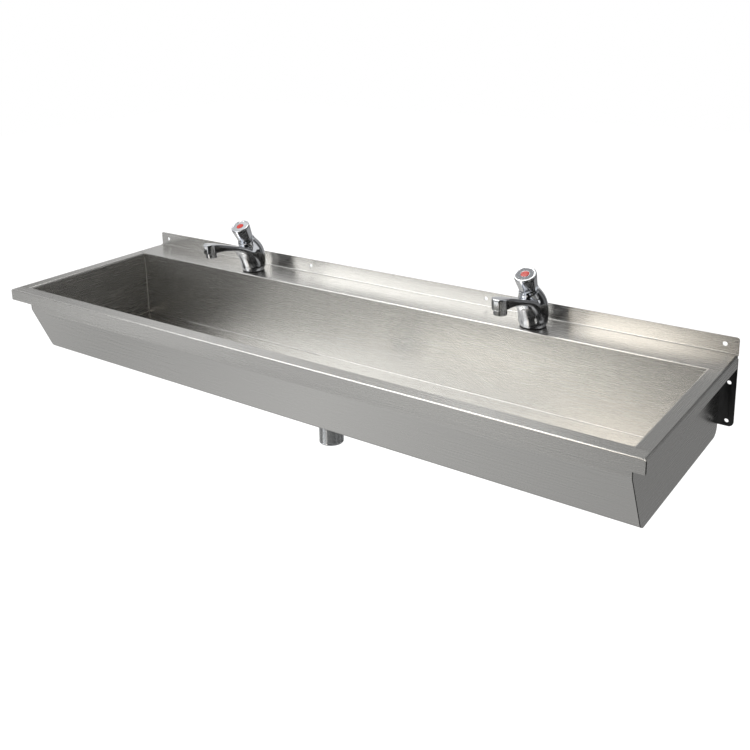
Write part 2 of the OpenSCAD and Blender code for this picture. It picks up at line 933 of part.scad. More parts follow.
button_base = neck_len - skirt_lap;
button_face = neck_len + button_h;
button_wall = 2.4;
crown_wall = 4.2;
// The skirt stays straight up to this far above the part that enters the neck.
skirt_spare = 0.8;
// Height of the plain band below the face.
face_band = 6;
crown_t = 4.5;
crown_under = button_face - crown_t;
edge_ease = 1.4;
dish_depth = 0.5;
boss_r = spindle_r + 2.2;
boss_len = 9;
spindle_top = crown_under - 0.5;
indicator_t = 1.6;

// The push button: a tapering cup with broad flutes, which end short of its
// face and of its skirt.
module tap_button(side) {
  turn_deg = button_turns[side < 0 ? 0 : 1];
  dish_r = button_top_r - edge_ease - 1.2;
  color(chrome)
    at_tap(side)
      on_button_axis(0)
        rotate([0, 0, turn_deg])
          difference() {
            union() {
              difference() {
                rotate_extrude()
                  polygon(concat(
                    [[0, button_base]],
                    [[button_skirt_r, button_base]],
                    [[button_skirt_r, neck_len + button_travel + skirt_spare]],
                    [[button_top_r, button_face - face_band]],
                    [for (i = [0:6])
                      [button_top_r - edge_ease + edge_ease * cos(i * 15),
                       button_face - edge_ease + edge_ease * sin(i * 15)]],
                    [[dish_r, button_face], [dish_r - 0.8, button_face - dish_depth]],
                    [[0, button_face - dish_depth]]));
                for (i = [0:flutes - 1])
                  rotate([0, 0, (i + 0.5) * 360 / flutes])
                    flute_cut();
                translate([0, 0, button_base - over])
                  cylinder(r1 = button_skirt_r - button_wall, r2 = button_top_r - crown_wall,
                           h = crown_under - button_base + over);
              }
              translate([0, 0, crown_under - boss_len])
                cylinder(r = boss_r, h = boss_len + 1);
            }
            translate([0, 0, crown_under - boss_len - over])
              cylinder(r = spindle_r, h = spindle_top - crown_under + boss_len + over);
            translate([0, 0, button_face - dish_depth - indicator_t + indicator_proud])
              cylinder(r = indicator_r, h = indicator_t + over);
          }
}

// Where the flutes end above the neck and below the face, and how round their top is.
flute_low_gap = 4.5;
flute_high_gap = 2.6;
flute_corner_r = 6;

// The outline of a flute seen from its side of the button.
module flute_window(top) {
  translate([-flute_w / 2, 0])
    square([flute_w, top - flute_corner_r]);
  translate([flute_corner_r - flute_w / 2, 0])
    square([flute_w - 2 * flute_corner_r, top]);
  for (side = [-1, 1])
    translate([side * (flute_w / 2 - flute_corner_r), top - flute_corner_r])
      circle(r = flute_corner_r);
}

// A shallow panel that leans with the button's taper and has a round top.
module flute_cut() {
  low = neck_len + flute_low_gap;
  top = button_face - flute_high_gap - low;
  lean = atan((button_top_r - button_skirt_r) / (top + flute_high_gap - face_band));
  intersection() {
    translate([button_skirt_r - flute_depth, 0, low])
      rotate([0, lean, 0])
        translate([flute_r, 0, -over])
          cylinder(r = flute_r, h = top + 3 * over, $fn = 360);
    translate([0, 0, low])
      rotate([90, 0, 90])
        linear_extrude(height = button_top_r + over)
          flute_window(top);
  }
}

module tap_indicator(side) {
  ease = 0.4;
  color(red_plastic)
    at_tap(side)
      on_button_axis(button_face - dish_depth - indicator_t + indicator_proud) {
        cylinder(r = indicator_r - ring_gap, h = indicator_t - ease);
        translate([0, 0, indicator_t - ease])
          cylinder(r1 = indicator_r - ring_gap, r2 = indicator_r - ring_gap - ease, h = ease);
      }
}

cartridge_gap = 0.1;
cartridge_flange_t = 2;
cartridge_flange_r = 12;
stem_r = 6.5;
stem_len = 8;
piston_r = 7.6;
piston_t = 3;
piston_cup_r = 8;
piston_spare = 0.5;
piston_low = chamber_floor + button_travel + piston_spare;
stem_sink = 6;
stem_floor = cup_floor - stem_sink;
cartridge_lift = 0.2;

module tap_cartridge(side) {
  color(brass)
    at_tap(side)
      on_button_axis(0)
        difference() {
          union() {
            translate([0, 0, chamber_floor + cartridge_lift])
              cylinder(r = chamber_r - cartridge_gap, h = cup_floor - chamber_floor - cartridge_lift);
            translate([0, 0, cup_floor])
              cylinder(r = cartridge_flange_r, h = cartridge_flange_t);
            translate([0, 0, cup_floor])
              cylinder(r = stem_r, h = stem_len);
          }
          translate([0, 0, -over])
            cylinder(r = spindle_r + spindle_clearance, h = cup_floor + stem_len + 2 * over);
          translate([0, 0, -over])
            cylinder(r = piston_cup_r, h = stem_floor + over);
        }
}

// The spindle, with the piston that closes the tap.
module tap_spindle(side) {
  color(bright_steel)
    at_tap(side)
      on_button_axis(0) {
        translate([0, 0, piston_low])
          cylinder(r = piston_r, h = piston_t);
        translate([0, 0, piston_low + piston_t])
          cylinder(r = spindle_r, h = spindle_top - piston_low - piston_t);
      }
}

spring_low = cup_floor + cartridge_flange_t + spring_wire_r;
spring_high = crown_under - spring_wire_r;
spring_rings = 12;
spring_sides = 6;

// The return spring, one tube swept along a helix.
module tap_spring(side) {
  steps = spring_turns * spring_rings;
  pitch = (spring_high - spring_low) / spring_turns;
  rings = [
    for (k = [0:steps])
      let (a = 360 * k / spring_rings,
           z = spring_low + pitch * k / spring_rings)
      [for (i = [0:spring_sides - 1])
        let (b = 360 * i / spring_sides,
             r = spring_r + spring_wire_r * cos(b))
        [r * cos(a), r * sin(a), z + spring_wire_r * sin(b)]]
  ];
  points = [for (r = rings) each r];
  faces = concat(
    [for (k = [0:steps - 1])
      for (i = [0:spring_sides - 1])
        let (a = k * spring_sides + i,
             b = k * spring_sides + (i + 1) % spring_sides)
        each [[a, b + spring_sides, b], [a, a + spring_sides, b + spring_sides]]],
    [[for (i = [0:spring_sides - 1]) i]],
    [[for (i = [spring_sides - 1:-1:0]) steps * spring_sides + i]]);
  color(bright_steel)
    at_tap(side)
      on_button_axis(0)
        polyhedron(points = points, faces = faces, convexity = 8);
}

tail_top_h = tap_gasket_t + tail_socket;
inlet_tail_r = inlet_d / 2;
inlet_relief_z = -sheet_t - tap_washer_t - tap_nut_t - relief_gap;

// The threaded tail that takes the supply.
module tap_inlet_tail(side) {
  relief_low = inlet_relief_z - relief_w;
  color(brass)
    at_tap(side)
      rotate_extrude()
        polygon([
          [inlet_bore_r, -inlet_drop],
          [inlet_tail_r, -inlet_drop],
          [inlet_tail_r, relief_low],
          [inlet_tail_r - relief_deep, relief_low],
          [inlet_tail_r - relief_deep, inlet_relief_z],
          [inlet_tail_r, inlet_relief_z],
          [inlet_tail_r, tail_top_h],
          [inlet_bore_r, tail_top_h]
        ]);
}

module tap_washer(side) {
  color(fibre)
    at_tap(side)
      translate([0, 0, -sheet_t - tap_washer_t])
        ring(tap_washer_d / 2, inlet_d / 2 + ring_gap, tap_washer_t);
}

module tap_nut(side) {
  color(brass)
    at_tap(side)
      translate([0, 0, -sheet_t - tap_washer_t - tap_nut_t])
        hex_nut(tap_nut_af, tap_nut_t, inlet_d / 2 + ring_gap);
}

trough_body();
end_panel_left();
end_panel_right();
bracket_left();
bracket_right();
bracket_studs();
bracket_washers();
bracket_nuts();
waste_body();
waste_grate();
waste_screw();
waste_seal();
waste_washer();
waste_nut();
tap_body(-1);  // tap_body_left
tap_gasket(-1);  // tap_gasket_left
tap_outlet_ring(-1);  // tap_outlet_ring_left
tap_flow_insert(-1);  // tap_flow_insert_left
tap_button(-1);  // tap_button_left
tap_indicator(-1);  // tap_indicator_left
tap_spindle(-1);  // tap_spindle_left
tap_spring(-1);  // tap_spring_left
tap_cartridge(-1);  // tap_cartridge_left
tap_inlet_tail(-1);  // tap_inlet_tail_left
tap_washer(-1);  // tap_washer_left
tap_nut(-1);  // tap_nut_left
tap_body(1);  // tap_body_right
tap_gasket(1);  // tap_gasket_right
tap_outlet_ring(1);  // tap_outlet_ring_right
tap_flow_insert(1);  // tap_flow_insert_right
tap_button(1);  // tap_button_right
tap_indicator(1);  // tap_indicator_right
tap_spindle(1);  // tap_spindle_right
tap_spring(1);  // tap_spring_right
tap_cartridge(1);  // tap_cartridge_right
tap_inlet_tail(1);  // tap_inlet_tail_right
tap_washer(1);  // tap_washer_right
tap_nut(1);  // tap_nut_right
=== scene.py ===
import bmesh
import bpy
import math
from mathutils import Matrix, Vector


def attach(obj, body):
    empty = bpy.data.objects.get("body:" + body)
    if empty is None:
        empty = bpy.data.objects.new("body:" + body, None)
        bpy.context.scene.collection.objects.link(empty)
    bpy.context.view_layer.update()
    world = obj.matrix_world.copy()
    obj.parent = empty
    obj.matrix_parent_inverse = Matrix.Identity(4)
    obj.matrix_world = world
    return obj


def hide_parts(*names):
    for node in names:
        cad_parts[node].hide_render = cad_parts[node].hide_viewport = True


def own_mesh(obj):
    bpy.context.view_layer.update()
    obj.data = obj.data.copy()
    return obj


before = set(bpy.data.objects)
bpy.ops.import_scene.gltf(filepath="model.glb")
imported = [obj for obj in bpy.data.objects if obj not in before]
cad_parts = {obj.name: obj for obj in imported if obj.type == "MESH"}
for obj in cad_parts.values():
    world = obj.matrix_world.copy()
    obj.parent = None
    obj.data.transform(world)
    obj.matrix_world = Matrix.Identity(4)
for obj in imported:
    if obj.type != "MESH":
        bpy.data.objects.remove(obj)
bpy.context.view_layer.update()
mm = 0.001
sides = {"left": -1, "right": 1}
print("trough: frame loaded,", len(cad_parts), "CAD nodes")


def linearColour(hexText):
    # sRGB hex to the linear values that Blender wants, by the standard's own curve
    channels = [int(hexText[i:i + 2], 16) / 255 for i in (1, 3, 5)]
    return tuple(c / 12.92 if c <= 0.04045 else ((c + 0.055) / 1.055) ** 2.4 for c in channels) + (1,)


def addNode(tree, kind, settings=None, links=None):
    # settings: a socket's name or number, or a property, and its value; links: socket and source
    node = tree.nodes.new(kind)
    for name, value in (settings or {}).items():
        if isinstance(name, int) or name in node.inputs:
            node.inputs[name].default_value = value
        else:
            setattr(node, name, value)
    for name, source in (links or {}).items():
        tree.links.new(source, node.inputs[name])
    return node


def deselectAll():
    if bpy.context.object and bpy.context.object.mode != "OBJECT":
        bpy.ops.object.mode_set(mode="OBJECT")
    bpy.ops.object.select_all(action="DESELECT")


def makeActive(piece):
    deselectAll()
    piece.select_set(True)
    bpy.context.view_layer.objects.active = piece


def openForEdit(piece):
    makeActive(piece)
    bpy.ops.object.mode_set(mode="EDIT")


def closeEdit():
    bpy.ops.object.mode_set(mode="OBJECT")


def turnFacesOut():
    # points every face outwards, and leaves edit mode
    bpy.ops.mesh.select_all(action="SELECT")
    bpy.ops.mesh.normals_make_consistent(inside=False)
    closeEdit()


def joinPieces(main, *others):
    makeActive(main)
    for piece in others:
        piece.select_set(True)
    bpy.ops.object.join()


def applyModifiers(piece):
    makeActive(piece)
    for modifier in list(piece.modifiers):
        bpy.ops.object.modifier_apply(modifier=modifier.name)


def smoothPiece(piece, degrees=30):
    makeActive(piece)
    bpy.ops.object.shade_smooth_by_angle(angle=math.radians(degrees))


def bevelEdges(piece, name, width, fromDegrees):
    # rounds the edges that turn by more than an angle; the width is in mm
    edge = piece.modifiers.new(name, "BEVEL")
    edge.width = width * mm
    edge.segments = 2
    edge.limit_method = "ANGLE"
    edge.angle_limit = math.radians(fromDegrees)
    applyModifiers(piece)


def flattenShading(piece):
    # the large flat faces keep their own normals, so that no bend's shading spreads over them
    weighted = piece.modifiers.new("flatFaces", "WEIGHTED_NORMAL")
    weighted.mode = "FACE_AREA"
    weighted.weight = 100
    weighted.keep_sharp = True
    applyModifiers(piece)


def finishPiece(piece, body, material, nodes=()):
    piece.data.materials.clear()
    piece.data.materials.append(material)
    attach(piece, body)
    if nodes:
        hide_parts(*nodes)
    return piece


def twinOf(piece, name, place):
    # a copy with its own mesh, moved by a matrix
    twin = bpy.data.objects.new(name, piece.data.copy())
    bpy.context.scene.collection.objects.link(twin)
    twin.data.transform(place)
    return twin


# for cleaning meshes: distances in mm between corners that are one, and angles in degrees
meshCare = {"sameCadCorner": 0.004, "sameCorner": 0.003, "sameHeight": 0.01, "samePlane": 0.6,
            "bevelFrom": 50}


def cadCopy(nodeName, pieceName, bevel):
    # a CAD node's mesh with its loose triangles joined, so that it can be shaded and bevelled
    piece = bpy.data.objects.new(pieceName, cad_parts[nodeName].data.copy())
    bpy.context.scene.collection.objects.link(piece)
    openForEdit(piece)
    bpy.ops.mesh.select_all(action="SELECT")
    bpy.ops.mesh.remove_doubles(threshold=meshCare["sameCadCorner"] * mm)
    bpy.ops.mesh.dissolve_limited(angle_limit=math.radians(meshCare["samePlane"]))
    closeEdit()
    if bevel:
        bevelEdges(piece, "softEdge", bevel, meshCare["bevelFrom"])
    smoothPiece(piece)
    return piece


def drawLine(pieceName, points):
    # one corner, extruded from point to point
    deselectAll()
    bpy.ops.mesh.primitive_plane_add(size=mm)
    piece = bpy.context.object
    piece.name = pieceName
    bpy.ops.object.mode_set(mode="EDIT")
    bpy.ops.mesh.select_all(action="SELECT")
    bpy.ops.mesh.merge(type="CENTER")
    bpy.ops.transform.translate(value=points[0])
    for start, end in zip(points, points[1:]):
        step = [e - s for s, e in zip(start, end)]
        bpy.ops.mesh.extrude_vertices_move(TRANSFORM_OT_translate={"value": step})
    return piece


def spinProfile(pieceName, profile, steps, closed=False):
    # profile: [radius, height] pairs in mm, spun about Z
    points = [(r * mm, 0, h * mm) for r, h in profile]
    if closed:
        points.append(points[0])
    piece = drawLine(pieceName, points)
    bpy.ops.mesh.select_all(action="SELECT")
    bpy.ops.mesh.spin(steps=steps, angle=2 * math.pi, center=(0, 0, 0), axis=(0, 0, 1))
    bpy.ops.mesh.select_all(action="SELECT")
    bpy.ops.mesh.remove_doubles(threshold=meshCare["sameCorner"] * mm)
    turnFacesOut()
    return piece


def fromCorner(radius, height, steps):
    # profile points, each given as its way out and up from one corner
    return [(radius + out, height + up) for out, up in steps]


def arcProfile(centre, radius, fromDeg, toDeg, steps):
    return [(centre[0] + radius * math.cos(math.radians(fromDeg + (toDeg - fromDeg) * i / steps)),
             centre[1] + radius * math.sin(math.radians(fromDeg + (toDeg - fromDeg) * i / steps)))
            for i in range(steps + 1)]


# steepness: above 1, it leaves the thread a flat crest and root; runOut: in turns; onCrest: in mm
threadForm = {"steepness": 1.25, "runOut": 1.5, "onCrest": 0.02}


def cutThread(piece, crestRadius, depth, pitch, low, high):
    # moves the corners on the crest radius in and out along a helix; it runs out at both ends
    steepness, runOut = threadForm["steepness"], threadForm["runOut"] * pitch
    for vert in piece.data.vertices:
        radius = math.hypot(vert.co.x, vert.co.y)
        if abs(radius - crestRadius) > threadForm["onCrest"] * mm or not low < vert.co.z < high:
            continue
        turn = math.atan2(vert.co.y, vert.co.x) / (2 * math.pi)
        phase = (vert.co.z / pitch - turn) % 1
        wave = min(1, max(0, steepness * (1 - abs(2 * phase - 1)) - (steepness - 1) / 2))
        reached = min(1, (vert.co.z - low) / runOut, (high - vert.co.z) / runOut)
        share = 1 - depth * (1 - wave) * max(0, reached) / radius
        vert.co.x *= share
        vert.co.y *= share


def emptyTree(owner):
    # the node tree of a material or the world, without the nodes it starts with
    owner.use_nodes = True
    owner.node_tree.nodes.clear()
    return owner.node_tree


def newMaterial(name):
    material = bpy.data.materials.new(name)
    return material, emptyTree(material)


def finishMaterial(tree, settings, links):
    # the shader, once the nodes that feed it are there
    shader = addNode(tree, "ShaderNodeBsdfPrincipled", settings, links)
    addNode(tree, "ShaderNodeOutputMaterial", links={"Surface": shader.outputs[0]})


def stretchedCoords(tree, sizes):
    # Object coordinates divided by a grain's length in mm along each axis
    place = addNode(tree, "ShaderNodeTexCoord").outputs["Object"]
    return addNode(tree, "ShaderNodeMapping",
                   {"Scale": [1 / (size * mm) for size in sizes]}, {"Vector": place}).outputs[0]


# Stainless sheet, belt-brushed in one direction: it smears what it mirrors across the grain.
# The scratches are 0.1 mm apart on the real sheet; they are drawn 0.7 mm apart so that they show.
# Lengths in mm; each pair is a share of a length, along the grain and across it.
brushedSteel = {"dark": "#d2d1ce", "light": "#d8d7d4", "scratch": 0.7, "run": 90, "fine": (0.45, 0.35),
                "cloud": 210, "cloudShape": (1.6, 0.7), "streakPart": 0.7, "cloudPart": 0.3,
                "roughLow": 0.25, "roughHigh": 0.285, "relief": 0.05, "reliefStrength": 0.025,
                "anisotropy": 0.72}


def makeBrushedSteel(name, grain, settings):
    material, tree = newMaterial(name)

    def grainSizes(along, across):
        return [along if axis == grain else across for axis in "XYZ"]

    run, scratch, cloudSize = settings["run"], settings["scratch"], settings["cloud"]
    fineAlong, fineAcross = settings["fine"]
    cloudAlong, cloudAcross = settings["cloudShape"]
    streak = addNode(tree, "ShaderNodeTexNoise",
                     {"Scale": 1, "Detail": 4, "Roughness": 0.62},
                     {"Vector": stretchedCoords(tree, grainSizes(run, scratch))})
    fine = addNode(tree, "ShaderNodeTexNoise",
                   {"Scale": 1, "Detail": 2, "Roughness": 0.5},
                   {"Vector": stretchedCoords(tree, grainSizes(run * fineAlong, scratch * fineAcross))})
    cloud = addNode(tree, "ShaderNodeTexNoise",
                    {"Scale": 1, "Detail": 3, "Roughness": 0.55},
                    {"Vector": stretchedCoords(tree, grainSizes(cloudSize * cloudAlong,
                                                                cloudSize * cloudAcross))})
    clouded = addNode(tree, "ShaderNodeMath", {"operation": "MULTIPLY", 1: settings["cloudPart"]},
                      {0: cloud.outputs[0]})
    tone = addNode(tree, "ShaderNodeMath", {"operation": "MULTIPLY_ADD", 1: settings["streakPart"]},
                   {0: streak.outputs[0], 2: clouded.outputs[0]})
    colour = addNode(tree, "ShaderNodeMix", {"data_type": "RGBA"}, {0: tone.outputs[0]})
    colour.inputs[6].default_value = linearColour(settings["dark"])     # 6 and 7: the two colours
    colour.inputs[7].default_value = linearColour(settings["light"])
    rough = addNode(tree, "ShaderNodeMapRange",
                    {"From Min": 0.3, "From Max": 0.7,
                     "To Min": settings["roughLow"], "To Max": settings["roughHigh"]},
                    {"Value": tone.outputs[0]})
    bump = addNode(tree, "ShaderNodeBump",
                   {"Strength": settings["reliefStrength"], "Distance": settings["relief"] * mm},
                   {"Height": fine.outputs[0]})
    grainLine = addNode(tree, "ShaderNodeCombineXYZ", {grain: 1.0})
    finishMaterial(tree, {"Metallic": 1, "Anisotropic": settings["anisotropy"],
                          "Anisotropic Rotation": 0.25},
                   {"Base Color": colour.outputs[2], "Roughness": rough.outputs[0],
                    "Normal": bump.outputs[0], "Tangent": grainLine.outputs[0]})
    return material


# the size of each mark along X, Y and Z, in mm
marks = {"haze": [9, 9, 9], "wipes": [0.6, 5, 5], "tarnish": [11, 11, 11], "turnedLength": 40}


# Chrome on polished brass: a near mirror, with the faint haze of wiping cloths.
def makeChrome(name, hexText="#d2d4d8", roughLow=0.03, roughHigh=0.09):
    material, tree = newMaterial(name)
    haze = addNode(tree, "ShaderNodeTexNoise", {"Scale": 1, "Detail": 3},
                   {"Vector": stretchedCoords(tree, marks["haze"])})
    wipes = addNode(tree, "ShaderNodeTexNoise", {"Scale": 1, "Detail": 2},
                    {"Vector": stretchedCoords(tree, marks["wipes"])})
    both = addNode(tree, "ShaderNodeMath", {"operation": "MULTIPLY"},
                   {0: haze.outputs[0], 1: wipes.outputs[0]})
    rough = addNode(tree, "ShaderNodeMapRange",
                    {"From Min": 0.12, "From Max": 0.42, "To Min": roughLow, "To Max": roughHigh},
                    {"Value": both.outputs[0]})
    finishMaterial(tree, {"Base Color": linearColour(hexText), "Metallic": 1},
                   {"Roughness": rough.outputs[0]})
    return material


# Machined or plated metal: fine turning marks round the piece, and a little tarnish.
def makeTurnedMetal(name, light, dark, markSize, roughLow, roughHigh):
    material, tree = newMaterial(name)
    around = marks["turnedLength"]
    tarnish = addNode(tree, "ShaderNodeTexNoise", {"Scale": 1, "Detail": 4},
                      {"Vector": stretchedCoords(tree, marks["tarnish"])})
    turning = addNode(tree, "ShaderNodeTexNoise", {"Scale": 1, "Detail": 1},
                      {"Vector": stretchedCoords(tree, [around, around, markSize])})
    colour = addNode(tree, "ShaderNodeMix", {"data_type": "RGBA"}, {0: tarnish.outputs[0]})
    colour.inputs[6].default_value = linearColour(light)
    colour.inputs[7].default_value = linearColour(dark)
    rough = addNode(tree, "ShaderNodeMapRange",
                    {"From Min": 0.3, "From Max": 0.7, "To Min": roughLow, "To Max": roughHigh},
                    {"Value": tarnish.outputs[0]})
    bump = addNode(tree, "ShaderNodeBump", {"Strength": 0.25, "Distance": 0.04 * mm},
                   {"Height": turning.outputs[0]})
    finishMaterial(tree, {"Metallic": 1}, {"Base Color": colour.outputs[2], "Roughness": rough.outputs[0],
                                           "Normal": bump.outputs[0]})
    return material


# Paints, rubbers and plastics: a mottled colour over a fine moulded or sprayed relief.
def makeCoat(name, light, dark, grainSize, relief, roughLow, roughHigh):
    material, tree = newMaterial(name)
    mottle = addNode(tree, "ShaderNodeTexNoise", {"Scale": 1, "Detail": 3},
                     {"Vector": stretchedCoords(tree, [grainSize * 6] * 3)})
    grain = addNode(tree, "ShaderNodeTexNoise", {"Scale": 1, "Detail": 2},
                    {"Vector": stretchedCoords(tree, [grainSize] * 3)})
    colour = addNode(tree, "ShaderNodeMix", {"data_type": "RGBA"}, {0: mottle.outputs[0]})
    colour.inputs[6].default_value = linearColour(light)
    colour.inputs[7].default_value = linearColour(dark)
    rough = addNode(tree, "ShaderNodeMapRange",
                    {"From Min": 0.3, "From Max": 0.7, "To Min": roughLow, "To Max": roughHigh},
                    {"Value": mottle.outputs[0]})
    bump = addNode(tree, "ShaderNodeBump", {"Strength": 0.4, "Distance": relief * mm},
                   {"Height": grain.outputs[0]})
    finishMaterial(tree, {"IOR": 1.5}, {"Base Color": colour.outputs[2], "Roughness": rough.outputs[0],
                                        "Normal": bump.outputs[0]})
    return material


steelAlong = makeBrushedSteel("brushedSteelAlongTrough", "X", brushedSteel)
steelEnds = makeBrushedSteel("brushedSteelEndPanels", "Y", brushedSteel)
tapChrome = makeChrome("polishedChromeTap")
wasteChrome = makeChrome("polishedChromeWaste", "#c4c6c8", 0.07, 0.16)
# Zinc plate has a cool, soft sheen and machined brass a warm one; a laser-cut edge is scaled nearly black.
brightSteel = makeTurnedMetal("zincPlatedSteel", "#c6c8c9", "#a3a6a8", 0.5, 0.22, 0.38)
rawBrass = makeTurnedMetal("machinedBrass", "#c9a45c", "#9c7a40", 0.5, 0.24, 0.42)
# the same near black paints shade into the hollow behind the lip's open corner
cutEdgeAndShade = makeTurnedMetal("laserCutEdgeAndPaintedShade", "#2c2b29", "#1b1a19", 0.6, 0.5, 0.7)
weldSteel = makeTurnedMetal("groundWeldBead", "#dddcd8", "#c9c7c2", 0.7, 0.3, 0.45)
# Powder coat is an even satin, rubber and fibre are matt, and acetal and ABS have a moulded gloss.
blackPaint = makeCoat("satinBlackPowderCoat", "#121212", "#1b1b1b", 0.9, 0.05, 0.34, 0.48)
blackRubber = makeCoat("blackNitrileRubber", "#171717", "#242322", 0.6, 0.04, 0.62, 0.8)
brownFibre = makeCoat("vulcanisedFibre", "#8d5c3c", "#6f442a", 0.8, 0.08, 0.6, 0.75)
palePlastic = makeCoat("naturalAcetal", "#dfdfd8", "#cfcfc6", 1.2, 0.01, 0.3, 0.42)
redPlastic = makeCoat("redAbsDisc", "#dc3b2e", "#c93026", 1.1, 0.01, 0.2, 0.32)
print("trough: materials made")


# piece: (CAD node, material, slot, bevel in mm)
troughPieces = {
    "troughBody": ("trough_body", steelAlong, "trough_steel", 0),
    "endPanelLeft": ("end_panel_left", steelEnds, "trough_steel", 0),
    "endPanelRight": ("end_panel_right", steelEnds, "trough_steel", 0),
    "bracketLeft": ("bracket_left", blackPaint, "bracket_paint", 0.5),
    "bracketRight": ("bracket_right", blackPaint, "bracket_paint", 0.5),
    "bracketWashers": ("bracket_washers", brightSteel, "fixing_steel", 0.2),
    "bracketNuts": ("bracket_nuts", brightSteel, "fixing_steel", 0.3),
    "wasteGrate": ("waste_grate", wasteChrome, "waste_chrome", 0.25),
    "wasteScrew": ("waste_screw", brightSteel, "fixing_steel", 0.12),
    "wasteSeal": ("waste_seal", blackRubber, "black_rubber", 0.3),
    "wasteWasher": ("waste_washer", blackRubber, "black_rubber", 0.6),
    "wasteNut": ("waste_nut", rawBrass, "raw_brass", 0.6),
}
for pieceName, (nodeName, material, slot, bevel) in troughPieces.items():
    finishPiece(cadCopy(nodeName, pieceName, bevel), "trough", material, [nodeName])
print("trough: sheet, brackets and waste trim dressed")


# The long bends are pressed tighter in the photograph than in the CAD: their highlights are thin lines.
# name: (middle of the bend, the way to its corner, smallest and largest radius, how much tighter), in mm
tightBends = {
    "floorToBackWall": ((-78.5, -123), (1, -1), (4.9, 6.3), 3),
    "rimToLip": ((-371.8, -3.2), (-1, 1), (1.9, 3.3), 1.5),
    "rimToFrontWall": ((-353.7, -3.2), (1, 1), (1.9, 3.3), 1.85),
    "deckToBackWall": ((-70.3, -3.2), (-1, 1), (1.9, 3.3), 1.5)}
bendSlack = 0.05        # how far past the ends of the bend a corner still counts, in mm


def tightenBend(piece, middle, corner, radii, tighter):
    for vert in piece.data.vertices:
        y, z = vert.co.y / mm - middle[0], vert.co.z / mm - middle[1]
        radius = math.hypot(y, z)
        onBend = y * corner[0] > -bendSlack and z * corner[1] > -bendSlack
        if onBend and radii[0] < radius < radii[1]:
            share = 1 - tighter / radius
            vert.co.y = (middle[0] + tighter * corner[0] + y * share) * mm
            vert.co.z = (middle[1] + tighter * corner[1] + z * share) * mm


for settings in tightBends.values():
    tightenBend(bpy.data.objects["troughBody"], *settings)


# The lip's open corner: cut edges are scaled near black; the hollow behind them gets painted shade.
shadedLipCorner = {"x": 600, "y": -375, "reach": 9, "low": -20.5, "high": -1.9, "skin": 0.3}
panelEdge = {"from": 576.6, "to": 577.6, "front": -300, "top": -3.5}
facingOut = 0.5         # a face points along an axis when its normal's share is more than this


def isShadedLipCorner(middle, normal):
    x, y, z = abs(middle.x) / mm, middle.y / mm, middle.z / mm
    size = shadedLipCorner
    nearCorner = x > size["x"] - size["reach"] and y < size["y"] + size["reach"]
    onEnd = normal.x * math.copysign(1, middle.x) > facingOut and x > size["x"] - size["skin"]
    onFront = normal.y < -facingOut and y < size["y"] + size["skin"]
    # the hollow's inner faces, painted near black as shade; the outer end and front faces stay brushed
    # steel
    return nearCorner and size["low"] < z < size["high"] and not (onEnd or onFront)


def isPanelEdge(middle, normal):
    # the end panel's own cut edge, which shows as a thin dark line beside the front wall
    x, y, z = abs(middle.x) / mm, middle.y / mm, middle.z / mm
    size = panelEdge
    onEdge = size["from"] < x < size["to"] and y < size["front"] and z < size["top"]
    return onEdge and abs(normal.x) < facingOut


for pieceName in ("troughBody", "endPanelLeft", "endPanelRight"):
    sheet = bpy.data.objects[pieceName]
    sheet.data.materials.append(cutEdgeAndShade)
    for face in sheet.data.polygons:
        # faces in the lip corner's hollow take the near-black edge material as painted shade
        if isShadedLipCorner(face.center, face.normal) or isPanelEdge(face.center, face.normal):
            face.material_index = 1
    flattenShading(sheet)


# The front lip runs on to the corner, so that only a thin slot is left beside the lip of the end panel.
lipEnd = {"low": (596.8, -375, -20), "high": (599.75, -373.8, -3.2)}


def makeLipEnd(name, sign, size):
    low, high = Vector(size["low"]), Vector(size["high"])
    middle = (low + high) / 2 * mm
    deselectAll()
    bpy.ops.mesh.primitive_cube_add(size=1)
    piece = bpy.context.object
    piece.name = name
    openForEdit(piece)
    bpy.ops.mesh.select_all(action="SELECT")
    bpy.ops.transform.resize(value=(high - low) * mm)
    bpy.ops.transform.translate(value=(sign * middle.x, middle.y, middle.z))
    closeEdit()
    finishPiece(piece, "trough", steelAlong)
    piece.data.materials.append(cutEdgeAndShade)
    for face in piece.data.polygons:
        if face.normal.x * sign > facingOut:
            face.material_index = 1


makeLipEnd("lipEndLeft", -1, lipEnd)
makeLipEnd("lipEndRight", 1, lipEnd)


# The end panels are welded to the folded sheet from inside; the bead is ground to a thin bright line.
# path: along the folded sheet's inside, from front to back, as (y, z) in mm
weldBead = {"x": 576.5, "leg": 1.1, "swell": 0.12, "smooth": 50, "path": [
    (-350.5, -9), (-350.5, -41), (-315.4, -120.4), (-313.3, -123.6), (-310.6, -126), (-307.3, -127.5),
    (-303.7, -128), (-75.5, -128), (-74.7, -127.8), (-74.1, -127.4), (-73.7, -126.8), (-73.5, -126),
    (-73.5, -9)]}


def bridgeRows(piece, count, first, second):
    # faces between two of the piece's lines, each of them count corners long
    openForEdit(piece)
    bpy.ops.mesh.select_all(action="DESELECT")
    work = bmesh.from_edit_mesh(piece.data)
    work.verts.ensure_lookup_table()
    for row in (first, second):
        for vert in work.verts[row * count:(row + 1) * count]:
            vert.select = True
    for edge in work.edges:
        rowOf = [v.index // count for v in edge.verts]
        edge.select = edge.verts[0].select and edge.verts[1].select and rowOf[0] == rowOf[1]
    bmesh.update_edit_mesh(piece.data)
    bpy.ops.mesh.select_mode(type="EDGE")
    bpy.ops.mesh.bridge_edge_loops()
    bpy.ops.mesh.select_mode(type="VERT")
    closeEdit()


